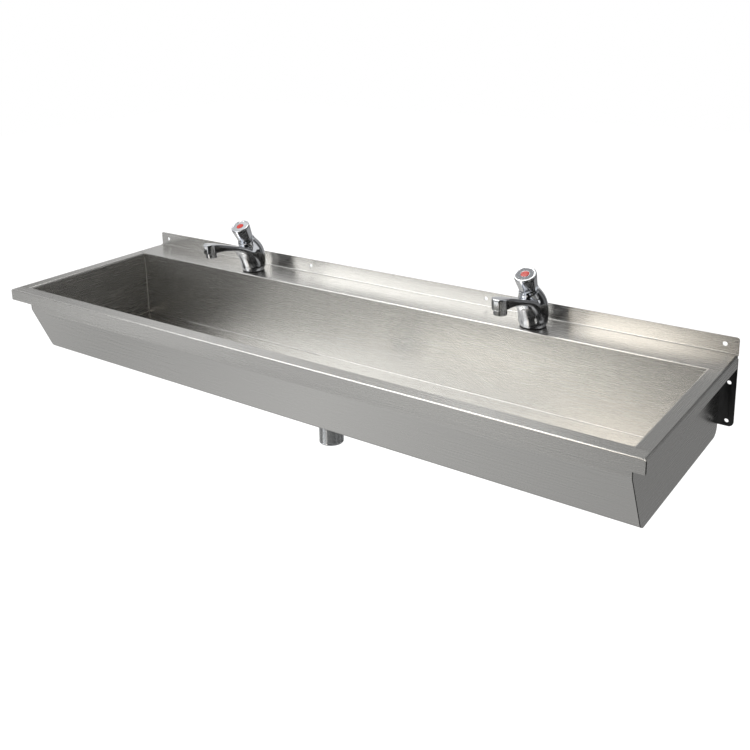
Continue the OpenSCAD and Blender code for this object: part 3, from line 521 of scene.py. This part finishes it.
def makeWeldBead(name, sign, size):
    path = [Vector(p) for p in size["path"]]
    last = len(path) - 1
    inward = []
    for i in range(len(path)):
        along = (path[min(i + 1, last)] - path[max(i - 1, 0)]).normalized()
        inward.append(Vector((-along.y, along.x)))
    leg, bulge = size["leg"], size["leg"] * (0.5 + size["swell"])
    rows = []       # (how far in from the end panel, how far in from the folded sheet)
    for across, off in ((0, 0), (leg, 0), (bulge, bulge), (0, leg)):
        x = sign * (size["x"] - across) * mm
        points = [p + n * off for p, n in zip(path, inward)]
        rows.append(drawLine(name, [(x, p.x * mm, p.y * mm) for p in points]))
        closeEdit()
    bead = rows[0]
    joinPieces(*rows)
    for i in range(len(rows)):
        bridgeRows(bead, len(path), i, (i + 1) % len(rows))
    openForEdit(bead)
    bpy.ops.mesh.select_all(action="SELECT")
    bpy.ops.mesh.fill_holes(sides=len(rows))
    turnFacesOut()
    smoothPiece(bead, size["smooth"])
    finishPiece(bead, "trough", weldSteel)


makeWeldBead("weldBeadLeft", -1, weldBead)
makeWeldBead("weldBeadRight", 1, weldBead)
print("trough: lip corners and weld beads made")


# Each ease is a row of points beside one corner, as ways out and up in mm.
wasteTail = {"radius": 20.95, "bore": 18.2, "flange": 32, "top": -127.6, "flangeLow": -130.8,
             "low": -218.5, "seat": 26, "seatDrop": 1.6, "pitch": 2.309, "threadDepth": 1.0,
             "threadStart": 1.4, "threadTop": -148.3, "reliefLow": -148.2, "reliefTop": -146.7,
             "reliefDepth": 1.1, "reliefEase": 0.2, "y": -192.75, "perPitch": 8, "steps": 72, "smooth": 35,
             "boreEase": [(0, 0.8), (0.6, 0)], "endEase": [(-1.3, 0), (-0.4, 0.4)],
             "flangeEase": [(-1.6, -0.1), (-3, 0)], "flangeInset": 0.6,
             "flangeRound": {"radius": 1.2, "drop": 1.6, "half": 60, "steps": 6},
             "seatEase": [(0.3, 0), (0, -0.3)], "throatEase": [(0.5, 0), (0, -0.5)]}
# the bar across the bore, which takes the grate's screw
crossBar = {"length": 38.6, "width": 10, "top": -130.7, "height": 8, "screwHole": 3.05, "corners": 48}


def makeCrossBar(size):
    deselectAll()
    bpy.ops.mesh.primitive_circle_add(vertices=size["corners"], radius=size["screwHole"] * mm,
                                      location=(0, 0, (size["top"] - size["height"]) * mm))
    bar = bpy.context.object
    bpy.ops.object.transform_apply(location=True)
    bpy.ops.object.mode_set(mode="EDIT")
    bpy.ops.mesh.select_all(action="SELECT")
    bpy.ops.mesh.extrude_edges_move(TRANSFORM_OT_translate={"value": (0, 0, 0)})
    work = bmesh.from_edit_mesh(bar.data)
    for vert in work.verts:
        if vert.select:     # out to the bar's outline
            reach = max(abs(vert.co.x) / size["length"], abs(vert.co.y) / size["width"]) * 2
            vert.co.x, vert.co.y = vert.co.x / reach * mm, vert.co.y / reach * mm
    bmesh.update_edit_mesh(bar.data)
    bpy.ops.mesh.select_all(action="SELECT")
    bpy.ops.mesh.extrude_region_move(TRANSFORM_OT_translate={"value": (0, 0, size["height"] * mm)})
    turnFacesOut()
    return bar


def makeWasteTail(size):
    radius, bore, flange, top, low = (size[key] for key in ("radius", "bore", "flange", "top", "low"))
    start, pitch = size["threadStart"], size["pitch"]
    rings = int((size["threadTop"] - low - start) / pitch * size["perPitch"])
    groove = radius - size["reliefDepth"]
    seatLow = top - size["seatDrop"]
    bulge = size["flangeRound"]
    profile = (
        fromCorner(bore, low, size["boreEase"])
        + fromCorner(radius, low, size["endEase"])
        + [(radius, low + start + i * pitch / size["perPitch"]) for i in range(rings)]
        + [(radius, size["reliefLow"]), (groove, size["reliefLow"] + size["reliefEase"]),
           (groove, size["reliefTop"] - size["reliefEase"]), (radius, size["reliefTop"])]
        + [(radius, size["flangeLow"]), (flange - size["flangeInset"], size["flangeLow"])]
        + arcProfile((flange - bulge["radius"], top - bulge["drop"]), bulge["radius"],
                     -bulge["half"], bulge["half"], bulge["steps"])
        + fromCorner(flange, top, size["flangeEase"])
        + fromCorner(size["seat"], top, size["seatEase"])
        + [(size["seat"], seatLow)]
        + fromCorner(bore, seatLow, size["throatEase"]))
    piece = spinProfile("wasteTail", profile, size["steps"], closed=True)
    cutThread(piece, radius * mm, size["threadDepth"] * mm, pitch * mm,
              (low + start) * mm, size["threadTop"] * mm)
    joinPieces(piece, makeCrossBar(crossBar))
    piece.data.transform(Matrix.Translation((0, size["y"] * mm, 0)))
    smoothPiece(piece, size["smooth"])
    finishPiece(piece, "trough", wasteChrome, ["waste_body"])


makeWasteTail(wasteTail)
print("trough: waste tail threaded")


tap = {"pitch": 594, "y": 44.7, "lean": 26, "pivot": 30, "columnCount": 16, "castLevels": 3}
# Rings of the column and neck: distance along the axis, radius, lean. The first ones stand upright.
columnRings = [(1.6, 20.9), (2.2, 21.3), (5, 22.5), (9, 24), (13, 24.5), (22, 24.7), (31, 24.2)]
neckRings = [(11, 23.5, 9), (20, 21.7, 18), (29, 18.9, 24), (34.6, 17.4, 26), (37.2, 17.05, 26),
             (38, 16.7, 26)]
# The cup under the button, then the bore that holds the works; the inlet tail's socket in the foot.
cupRings = [(38, 16.1), (37.4, 15.6), (28.4, 15.6), (28, 15.2), (28, 11.05), (12, 11.05)]
socketRings = [(1.6, 19), (1.6, 10.55), (13.6, 10.55)]
# Stations of the spout: forward, underside, top, half width, how far its sides trail, roundness.
spoutStations = [
    (27.8, 21.4, 51.9, 20.9, 9.5, 0.6), (31.9, 31, 53.3, 19.6, 7, 0.55), (37, 39.1, 55.2, 18.1, 5, 0.5),
    (45.2, 46.2, 57.7, 16.3, 3, 0.42), (57.6, 51.7, 61.5, 14.6, 1.2, 0.35),
    (74, 55.7, 67.1, 13.4, 0.4, 0.25), (90.5, 58.6, 72.4, 12.8, 0, 0.12), (99.7, 59.6, 74.9, 12.6, 0, 0.05),
    (110, 59.8, 77.2, 12.7, 0, 0), (115.8, 59.8, 78, 11.9, 0, 0), (120.4, 59.8, 78, 9, 0, 0),
    (123.2, 60, 77.6, 4.8, 0, 0)]
# The spout takes the front of the column: this many faces to each side, and rows of them from a ring.
spoutHalfColumns, spoutRows, spoutFirstRing = 3, 5, 4


def leanAxis(along, lean):
    # a point on the button's axis, bent over gradually from the pivot
    share = math.radians(lean)
    return Vector((0, -math.sin(share) * along, tap["pivot"] + math.cos(share) * along)) * mm


def stationPoint(u, v, station):
    forward, low, top, halfWidth, trail, roundness = station
    x = halfWidth * u * math.sqrt(1 - roundness * v * v / 2)
    z = (top + low) / 2 + (top - low) / 2 * v * math.sqrt(1 - roundness * u * u / 2)
    return Vector((x, -forward + trail * u * u, z)) * mm


def uprightRings(pairs):
    return [(Vector((0, 0, height * mm)), radius, 0) for height, radius in pairs]


def growRings(piece, rings):
    # extrudes the selected ring through a row of rings: (middle, radius, lean)
    for (lastMiddle, lastRadius, lastLean), (middle, radius, lean) in zip(rings, rings[1:]):
        bpy.ops.mesh.extrude_region_move(TRANSFORM_OT_translate={"value": middle - lastMiddle})
        bpy.ops.transform.resize(value=[radius / lastRadius] * 3, center_override=middle)
        if lean != lastLean:
            turn = Matrix.Rotation(math.radians(lean - lastLean), 3, "X")
            work = bmesh.from_edit_mesh(piece.data)
            bmesh.ops.rotate(work, cent=middle, matrix=turn, verts=[v for v in work.verts if v.select])
            bmesh.update_edit_mesh(piece.data)


def markSpoutFaces(piece, count):
    # numbers the front of the column in columns and rows, and selects the faces the spout grows from
    work = bmesh.from_edit_mesh(piece.data)
    work.verts.ensure_lookup_table()
    columnLayer = work.verts.layers.int.new("spoutColumn")
    rowLayer = work.verts.layers.int.new("spoutRow")
    for vert in work.verts:
        ring = vert.index // count
        vert[rowLayer] = ring - spoutFirstRing
        vert[columnLayer] = count       # outside the spout
        if 0 <= vert[rowLayer] <= spoutRows:
            ringMiddle = sum((work.verts[ring * count + k].co for k in range(count)), Vector()) / count
            azimuth = math.degrees(math.atan2(vert.co.x, ringMiddle.y - vert.co.y))
            vert[columnLayer] = round(azimuth / (360 / count))
    bpy.ops.mesh.select_mode(type="FACE")
    for face in work.faces:
        face.select_set(all(abs(v[columnLayer]) <= spoutHalfColumns and 0 <= v[rowLayer] <= spoutRows
                            for v in face.verts))
    bmesh.update_edit_mesh(piece.data)


def makeTapBody():
    count = tap["columnCount"]
    rings = uprightRings(columnRings)
    rings += [(leanAxis(along, lean), radius, lean) for along, radius, lean in neckRings]
    rings += [(leanAxis(along, tap["lean"]), radius, tap["lean"]) for along, radius in cupRings]
    deselectAll()
    bpy.ops.mesh.primitive_circle_add(vertices=count, radius=rings[0][1] * mm, location=rings[0][0])
    piece = bpy.context.object
    piece.name = "tapBody"
    bpy.ops.object.transform_apply(location=True)
    bpy.ops.object.mode_set(mode="EDIT")
    bpy.ops.mesh.select_all(action="SELECT")
    growRings(piece, rings)
    bpy.ops.mesh.fill_grid(span=count // 4)
    markSpoutFaces(piece, count)
    for station in spoutStations:
        bpy.ops.mesh.extrude_region_move(TRANSFORM_OT_translate={"value": (0, -mm, 0)})
        work = bmesh.from_edit_mesh(piece.data)
        columnLayer = work.verts.layers.int["spoutColumn"]
        rowLayer = work.verts.layers.int["spoutRow"]
        for vert in work.verts:
            if vert.select:
                u, v = vert[columnLayer] / spoutHalfColumns, 2 * vert[rowLayer] / spoutRows - 1
                vert.co = stationPoint(u, v, station)
        bmesh.update_edit_mesh(piece.data)

    # the foot closes round the inlet tail's socket
    bpy.ops.mesh.select_all(action="DESELECT")
    bpy.ops.mesh.select_mode(type="VERT")
    work = bmesh.from_edit_mesh(piece.data)
    for vert in work.verts:
        if abs(vert.co.z - rings[0][0].z) < meshCare["sameHeight"] * mm:
            vert.select_set(True)
    work.select_flush_mode()
    bmesh.update_edit_mesh(piece.data)
    growRings(piece, uprightRings(columnRings[:1] + socketRings))
    bpy.ops.mesh.fill_grid(span=count // 4)
    turnFacesOut()
    smooth = piece.modifiers.new("castSmooth", "SUBSURF")
    smooth.levels = smooth.render_levels = tap["castLevels"]
    applyModifiers(piece)
    bpy.ops.object.shade_smooth()
    return piece


# Heights and radii in mm, angles in degrees. hair: the thin band that ends each flute. turns: how far
# each button has been left turned on its spindle.
buttonSize = {"skirt": 15, "face": 17.6, "base": 36.5, "straight": 44.8, "flareTop": 65, "top": 71,
              "ease": 1.4, "dish": 0.5, "inner": 12.6, "innerTop": 13.4, "crown": 66.5, "boss": 6.2,
              "bossLen": 9, "spindle": 4.05, "spindleRoof": 0.5, "discSeat": 6.65, "discEase": 0.3,
              "discDepth": 1.1, "flutes": 6, "fluteLow": 42.5, "fluteHigh": 68.4, "fluteHalf": 25,
              "fluteRound": 6, "fluteTip": 0.2, "hair": 0.06, "skirtEase": 0.2, "skirtRing": 40,
              "flareRings": 10, "roundRings": 12, "roundGap": 0.4, "rimBand": 1.2, "rimSteps": 7,
              "dishRound": [(0, 0), (-0.3, -0.08), (-0.8, -0.5), (-1.15, -0.5)],
              "wallSlack": 0.1, "angleSlack": 0.01, "polish": 0.18, "polishFrom": 19, "smooth": 18,
              "steps": 144,
              "turns": {"left": 45, "right": 36}}


def fluteEdge(size, height):
    # half the angle that a flute takes at this height: it narrows in an arc at its top
    short = max(0, height - (size["fluteHigh"] - size["fluteRound"])) / size["fluteRound"]
    tip = size["fluteTip"]
    return size["fluteHalf"] * (tip + (1 - tip) * math.sqrt(max(0, 1 - short * short)))


def buttonRadius(size, height):
    share = min(1, max(0, (height - size["straight"]) / (size["flareTop"] - size["straight"])))
    return size["skirt"] + (size["face"] - size["skirt"]) * share


def buttonHeights(size):
    # rings up the button's side: evenly to where the flutes' tops begin, then closer along their arc
    low, straight, hair = size["fluteLow"], size["straight"], size["hair"]
    flare, arc = size["flareRings"], size["roundRings"]
    heights = [size["base"] + size["skirtEase"], size["skirtRing"], low - hair, low]
    heights += [low + (straight - low) * i / 2 for i in (1, 2)]
    heights += [straight + (size["flareTop"] - straight) * i / flare for i in range(1, flare)]
    roundFrom = size["fluteHigh"] - size["fluteRound"]
    heights = [h for h in heights if h < roundFrom - size["roundGap"]]
    heights += [roundFrom + size["fluteRound"] * math.sin(math.radians(90 * i / arc))
                for i in range(arc + 1)]
    return heights + [size["fluteHigh"] + hair]


def cutFlutes(piece, size):
    # flat panels ground into the round side, with plain ridges left between them
    pitchAngle = 360 / size["flutes"]
    half, reach = size["fluteHalf"], size["hair"] / 2
    for vert in piece.data.vertices:
        radius = math.hypot(vert.co.x, vert.co.y)
        height = vert.co.z / mm
        inBand = size["fluteLow"] - reach < height < size["fluteHigh"] + reach
        if radius < (size["skirt"] - size["wallSlack"]) * mm or not inBand:
            continue
        angle = math.degrees(math.atan2(vert.co.y, vert.co.x)) - pitchAngle / 2
        middle = round(angle / pitchAngle) * pitchAngle
        off, edge = angle - middle, fluteEdge(size, height)
        side = 1 if off > 0 else -1
        if abs(off) <= half + size["angleSlack"]:
            off *= edge / half
            full = buttonRadius(size, height) * mm
            radius = min(full, full * math.cos(math.radians(half)) / math.cos(math.radians(off)))
        else:
            spare = (pitchAngle / 2 - edge) / (pitchAngle / 2 - half)
            off = side * (edge + (abs(off) - half) * spare)
        turn = math.radians(middle + pitchAngle / 2 + off)
        vert.co.x, vert.co.y = radius * math.cos(turn), radius * math.sin(turn)


def makeButton(size):
    top, ease, crown = size["top"], size["ease"], size["crown"]
    dishFloor = top - size["dish"]
    bossLow, spindleTop = crown - size["bossLen"], crown - size["spindleRoof"]
    discRim = fromCorner(size["discSeat"], dishFloor, [(2 * size["discEase"], 0), (size["discEase"], 0),
                                                       (0, -size["discEase"]), (0, -size["discDepth"])])
    profile = (
        [(size["inner"], size["base"]), (size["skirt"] - size["skirtEase"], size["base"])]
        + [(buttonRadius(size, h), h) for h in buttonHeights(size)]
        + arcProfile((size["face"] - ease, top - ease), ease, 0, 90, size["rimSteps"])
        + fromCorner(size["face"] - ease - size["rimBand"], top, size["dishRound"])
        + discRim + [(0, dishFloor - size["discDepth"])])
    piece = spinProfile("button", profile, size["steps"])
    # the hollow underside: wall, crown and the boss that holds the spindle
    underside = [(size["inner"], size["base"]), (size["innerTop"], crown), (size["boss"], crown),
                 (size["boss"], bossLow), (size["spindle"], bossLow), (size["spindle"], spindleTop),
                 (0, spindleTop)]
    joinPieces(piece, spinProfile("buttonInside", underside, size["steps"]))
    cutFlutes(piece, size)
    openForEdit(piece)
    bpy.ops.mesh.select_all(action="SELECT")
    bpy.ops.mesh.remove_doubles(threshold=meshCare["sameCorner"] * mm)
    turnFacesOut()
    bevelEdges(piece, "polishedEdge", size["polish"], size["polishFrom"])    # a polished edge's rounding
    smoothPiece(piece, size["smooth"])
    return piece


disc = {"radius": 6.55, "thick": 1.6, "rim": 0.9, "low": 69.4, "round": 0.4, "wall": 0.45, "steps": 48,
        "smooth": 40, "rimStep": [(0, 0), (-0.25, -0.22)], "face": [(2.5, -0.16), (0, -0.12)]}


def makeDisc(size):
    radius, low, rounding = size["radius"], size["low"], size["round"]
    top = low + size["thick"]
    profile = (
        [(0, low), (radius, low), (radius, top - size["wall"])]
        + arcProfile((radius - rounding, top - rounding), rounding, 0, 90, 4)
        + fromCorner(radius - size["rim"], top, size["rimStep"])
        + fromCorner(0, top, size["face"]))
    piece = spinProfile("disc", profile, size["steps"])
    smoothPiece(piece, size["smooth"])
    return piece


spring = {"radius": 9, "wire": 0.7, "low": 31.7, "high": 65.3, "turns": 7, "sides": 8, "steps": 28,
          "smooth": 60}


def makeSpring(size):
    deselectAll()
    bpy.ops.mesh.primitive_circle_add(vertices=size["sides"], radius=size["wire"] * mm,
                                      location=(size["radius"] * mm, 0, size["low"] * mm),
                                      rotation=(math.pi / 2, 0, 0), fill_type="NGON")
    piece = bpy.context.object
    piece.name = "spring"
    bpy.ops.object.transform_apply(location=True, rotation=True)
    coil = piece.modifiers.new("coil", "SCREW")
    coil.steps = coil.render_steps = size["steps"]
    coil.iterations = size["turns"]
    coil.screw_offset = (size["high"] - size["low"]) / size["turns"] * mm
    applyModifiers(piece)
    openForEdit(piece)
    bpy.ops.mesh.select_all(action="SELECT")
    bpy.ops.mesh.remove_doubles(threshold=meshCare["sameCorner"] * mm)
    bpy.ops.mesh.fill_holes(sides=size["sides"])
    turnFacesOut()
    smoothPiece(piece, size["smooth"])
    return piece


tail = {"radius": 10.4775, "bore": 7, "low": -50, "high": 13.5, "pitch": 1.814, "depth": 0.85,
        "perPitch": 7, "threadStart": 1, "threadLow": 0.9, "threadTop": 0.8, "steps": 48, "smooth": 35,
        "boreEase": [(0, 0.5), (0.5, 0)], "endEase": [(-0.9, 0)]}


def makeInletTail(size):
    radius, low, high, pitch = size["radius"], size["low"], size["high"], size["pitch"]
    start = size["threadStart"]
    rings = int((high - start - low) / pitch * size["perPitch"])
    profile = (
        fromCorner(size["bore"], low, size["boreEase"])
        + fromCorner(radius, low, size["endEase"])
        + [(radius, low + start + i * pitch / size["perPitch"]) for i in range(rings)]
        + [(radius, high), (size["bore"], high)])
    piece = spinProfile("inletTail", profile, size["steps"], closed=True)
    cutThread(piece, radius * mm, size["depth"] * mm, pitch * mm,
              (low + size["threadLow"]) * mm, size["threadTop"] * mm)
    smoothPiece(piece, size["smooth"])
    return piece


modelTap = {"Body": makeTapBody(), "Button": makeButton(buttonSize), "Indicator": makeDisc(disc),
            "Spring": makeSpring(spring), "InletTail": makeInletTail(tail)}
print("trough: tap modelled")

# part: (CAD node, material, slot, bevel in mm)
tapTrim = {
    "Gasket": ("gasket", blackRubber, "black_rubber", 0.25),
    "OutletRing": ("outlet_ring", tapChrome, "tap_chrome", 0.25),
    "FlowInsert": ("flow_insert", palePlastic, "pale_plastic", 0),
    "Spindle": ("spindle", brightSteel, "fixing_steel", 0.2),
    "Cartridge": ("cartridge", rawBrass, "raw_brass", 0.2),
    "Washer": ("washer", brownFibre, "brown_fibre", 0.25),
    "Nut": ("nut", rawBrass, "raw_brass", 0.4)}
for side, sign in sides.items():
    place = Matrix.Translation((sign * tap["pitch"] / 2 * mm, -tap["y"] * mm, 0))
    lean = Matrix.Rotation(math.radians(tap["lean"]), 4, "X")
    onAxis = place @ Matrix.Translation((0, 0, tap["pivot"] * mm)) @ lean
    turned = onAxis @ Matrix.Rotation(math.radians(buttonSize["turns"][side]), 4, "Z")
    end = side.capitalize()
    parts = {
        "Body": (place, "trough", "tap_chrome", tapChrome, "tap_body_"),
        "Button": (turned, "button_" + side, "tap_chrome", tapChrome, "tap_button_"),
        "Indicator": (onAxis, "button_" + side, "red_plastic", redPlastic, "tap_indicator_"),
        "Spring": (onAxis, "trough", "fixing_steel", brightSteel, "tap_spring_"),
        "InletTail": (place, "trough", "raw_brass", rawBrass, "tap_inlet_tail_")}
    for part, (matrix, body, slot, material, node) in parts.items():
        piece = twinOf(modelTap[part], "tap" + part + end, matrix)
        finishPiece(piece, body, material, [node + side])
        if part == "Spring":
            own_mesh(piece)
    for part, (node, material, slot, bevel) in tapTrim.items():
        nodeName = "tap_" + node + "_" + side
        body = "button_" + side if part == "Spindle" else "trough"
        finishPiece(cadCopy(nodeName, "tap" + part + end, bevel), body, material, [nodeName])
for piece in modelTap.values():
    bpy.data.objects.remove(piece)
print("trough: taps placed")

# the studs stay as the CAD has them, in the fixings' own steel
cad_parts["bracket_studs"].data.materials.clear()
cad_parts["bracket_studs"].data.materials.append(brightSteel)


# floor: its height in metres; glow: how much of it shines by itself; ambient: the sky's light on the piece
studio = {"floor": -0.9, "floorSize": 16, "glow": 0.75, "bright": 1.3, "ambient": 0.45}


def whiteForCamera(tree):
    # 1 for what the camera, a mirror or glass sees directly
    path = addNode(tree, "ShaderNodeLightPath")
    first = addNode(tree, "ShaderNodeMath", {"operation": "MAXIMUM"},
                    {0: path.outputs["Is Camera Ray"], 1: path.outputs["Is Glossy Ray"]})
    return addNode(tree, "ShaderNodeMath", {"operation": "MAXIMUM"},
                   {0: first.outputs[0], 1: path.outputs["Is Transmission Ray"]}).outputs[0]


def makeFloor():
    deselectAll()
    bpy.ops.mesh.primitive_plane_add(size=studio["floorSize"], location=(0, 0, studio["floor"]))
    floor = bpy.context.object
    floor.name = "studioFloor"
    material, tree = newMaterial("palePaperFloor")
    paper = addNode(tree, "ShaderNodeBsdfDiffuse", {"Color": linearColour("#f4f4f2")})
    glow = addNode(tree, "ShaderNodeEmission", {"Strength": studio["bright"]})
    share = addNode(tree, "ShaderNodeMath", {"operation": "MULTIPLY", 1: studio["glow"]},
                    {0: whiteForCamera(tree)})
    mixed = addNode(tree, "ShaderNodeMixShader",
                    links={0: share.outputs[0], 1: paper.outputs[0], 2: glow.outputs[0]})
    addNode(tree, "ShaderNodeOutputMaterial", links={"Surface": mixed.outputs[0]})
    floor.data.materials.append(material)


def makeWorld():
    world = bpy.data.worlds.new("paleStudio")
    bpy.context.scene.world = world
    tree = emptyTree(world)
    strength = addNode(tree, "ShaderNodeMapRange", {"To Min": studio["ambient"], "To Max": 1.0},
                       {"Value": whiteForCamera(tree)})
    sky = addNode(tree, "ShaderNodeBackground", {"Color": (1, 1, 1, 1)},
                  {"Strength": strength.outputs[0]})
    addNode(tree, "ShaderNodeOutputWorld", links={"Surface": sky.outputs[0]})


def facing(thing, place, aim):
    thing.location = place
    thing.rotation_euler = (Vector(place) - Vector(aim)).to_track_quat("Z", "Y").to_euler()


def makeSoftbox(name, place, aim, width, height, radiance, hexText):
    lamp = bpy.data.lights.new(name, "AREA")
    lamp.shape = "RECTANGLE"
    lamp.size, lamp.size_y = width, height
    lamp.energy = radiance * math.pi * width * height
    lamp.color = linearColour(hexText)[:3]
    holder = bpy.data.objects.new(name, lamp)
    bpy.context.scene.collection.objects.link(holder)
    facing(holder, place, aim)
    holder.visible_camera = False


def makeCard(name, place, aim, width, height, tones):
    # A card that only the metal mirrors: the camera doesn't see it, and it casts no shadow.
    # tones: (metres along the card from its middle, brightness)
    deselectAll()
    bpy.ops.mesh.primitive_plane_add(size=1)
    card = bpy.context.object
    card.name = name
    openForEdit(card)
    bpy.ops.transform.resize(value=(width, height, 1))
    closeEdit()
    facing(card, place, aim)
    material, tree = newMaterial(name + "Card")
    coords = addNode(tree, "ShaderNodeTexCoord")
    along = addNode(tree, "ShaderNodeSeparateXYZ", links={0: coords.outputs["Object"]})
    share = addNode(tree, "ShaderNodeMapRange", {"From Min": -width / 2, "From Max": width / 2},
                    {"Value": along.outputs["X"]})
    ramp = addNode(tree, "ShaderNodeValToRGB", links={0: share.outputs[0]})
    ramp.color_ramp.interpolation = "LINEAR"
    stops = ramp.color_ramp.elements
    while len(stops) < len(tones):
        stops.new(0.5)
    for stop, (position, tone) in zip(stops, tones):
        stop.position = position / width + 0.5
        stop.color = (tone, tone, tone, 1)
    face = addNode(tree, "ShaderNodeEmission", links={"Color": ramp.outputs[0]})
    addNode(tree, "ShaderNodeOutputMaterial", links={"Surface": face.outputs[0]})
    card.data.materials.append(material)
    card.visible_camera = False
    card.visible_shadow = False
    card.visible_diffuse = False


# name: (place, aim, width, height, radiance, colour)
softboxes = {
    "softboxLeft": ((-1.95, -2.1, 1.3), (-0.3, -0.1, 0), 0.6, 2.4, 2.9, "#ffffff"),
    "softboxMiddle": ((-1.15, -2.2, 1.3), (-0.1, -0.1, 0), 0.9, 2.4, 1.9, "#ffffff"),
    "softboxFront": ((-0.42, -2.3, 1.3), (0.2, -0.1, 0), 0.5, 2.4, 3.1, "#fff8ef"),
    "softboxAbove": ((-1.15, 0.5, 2.6), (-0.9, 0.2, 0), 1.1, 1.1, 5.7, "#fffdf8")}
# name: (place, aim, width, height, tones across its width)
cards = {
    "flagFront": ((0, -3.6, 1.6), (0, 0, 1.6), 8, 5.2, [(-4, 0.02), (4, 0.02)]),
    "flagRight": ((3.4, -0.4, 1.6), (0, -0.4, 1.6), 7, 5.2, [(-3.5, 0.02), (3.5, 0.02)]),
    "flagLeft": ((-4.4, -1.8, 1.6), (0, 0.4, 1.6), 3.6, 5.2, [(-1.8, 0.32), (1.8, 0.32)]),
    "flagAbove": ((1.6, -1.8, 3.4), (1.6, -1.8, 0), 4.4, 4, [(-2.2, 0.02), (2.2, 0.02)]),
    "greyAboveRight": ((-0.81, 0.7, 2.3), (-0.81, 0.7, 0), 0.36, 0.36, [(-0.18, 0.42), (0.18, 0.42)]),
    "greyAboveLeft": ((-2.68, 0.75, 2.3), (-2.68, 0.75, 0), 0.5, 0.4, [(-0.25, 0.7), (0.25, 0.7)]),
    "brightLowFront": ((-1.1, -3.1, -0.85), (-1.1, -3.1, 2), 5.4, 1.2,
                       [(-2.7, 0.04), (-0.9, 0.07), (0.9, 1.1), (2.7, 1.3)]),
    "darkLowRight": ((2.7, -2.0, -0.85), (2.7, -2.0, 2), 2.4, 3.4, [(-1.2, 0.02), (1.2, 0.02)]),
    "greyBehind": ((-0.9, 2.4, 1.6), (-0.9, 0, 1.6), 9, 5.2,
                   [(-4.2, 0.02), (-3, 0.2), (-2, 0.06), (-1.2, 0.44), (-0.4, 0.26), (0.2, 0.64),
                    (0.9, 0.33), (1.9, 0.74), (3.0, 0.5), (3.9, 0.18)]),
    "paleBehindRight": ((2.88, 2.3, 0.8), (2.88, 0, 0.8), 0.85, 1.4, [(-0.42, 0.85), (0.42, 0.85)]),
    "paleRight": ((3.3, 0.75, 0.72), (0, 0.75, 0.72), 3, 1.5, [(-1.5, 0.85), (1.5, 0.85)]),
    "greyBelow": ((-1.3, -1.6, -0.87), (-1.3, -1.6, 2), 5.4, 3.2,
                  [(-2.6, 0.39), (-1.6, 0.43), (-0.8, 0.62), (0, 0.44), (0.8, 0.57), (1.6, 0.46),
                   (2.6, 0.4)]),
    "greyBelowRight": ((0.8, 1.2, -0.87), (0.8, 1.2, 2), 5.2, 2.6, [(-2.6, 0.23), (0, 0.25), (2.6, 0.26)])}
makeFloor()
makeWorld()
for name, settings in softboxes.items():
    makeSoftbox(name, *settings)
for name, settings in cards.items():
    makeCard(name, *settings)

# place in metres, angles in degrees, lens and sensor in mm, shifts as shares of the sensor
camera = {"place": (0.92756, -1.34911, 0.52485), "yaw": 36.297, "pitch": 14.35, "roll": -1.448,
          "lens": 45.824, "sensor": 36, "shiftAcross": 0.01529, "shiftUp": -0.19125}


def makeCamera(size):
    yaw, pitch, roll = (math.radians(size[k]) for k in ("yaw", "pitch", "roll"))
    ahead = Vector((-math.sin(yaw) * math.cos(pitch), math.cos(yaw) * math.cos(pitch), -math.sin(pitch)))
    level = ahead.cross(Vector((0, 0, 1))).normalized()
    upright = level.cross(ahead)
    across = math.cos(roll) * level + math.sin(roll) * upright
    up = -math.sin(roll) * level + math.cos(roll) * upright
    lens = bpy.data.cameras.new("photoView")
    lens.sensor_width = size["sensor"]
    lens.lens = size["lens"]
    lens.shift_x = size["shiftAcross"]
    lens.shift_y = size["shiftUp"]
    holder = bpy.data.objects.new("photoView", lens)
    bpy.context.scene.collection.objects.link(holder)
    turn = Matrix((across, up, -ahead)).transposed()
    holder.matrix_world = Matrix.Translation(size["place"]) @ turn.to_4x4()
    bpy.context.scene.camera = holder


makeCamera(camera)
bpy.context.scene.view_settings.view_transform = "Standard"
print("trough: studio set")
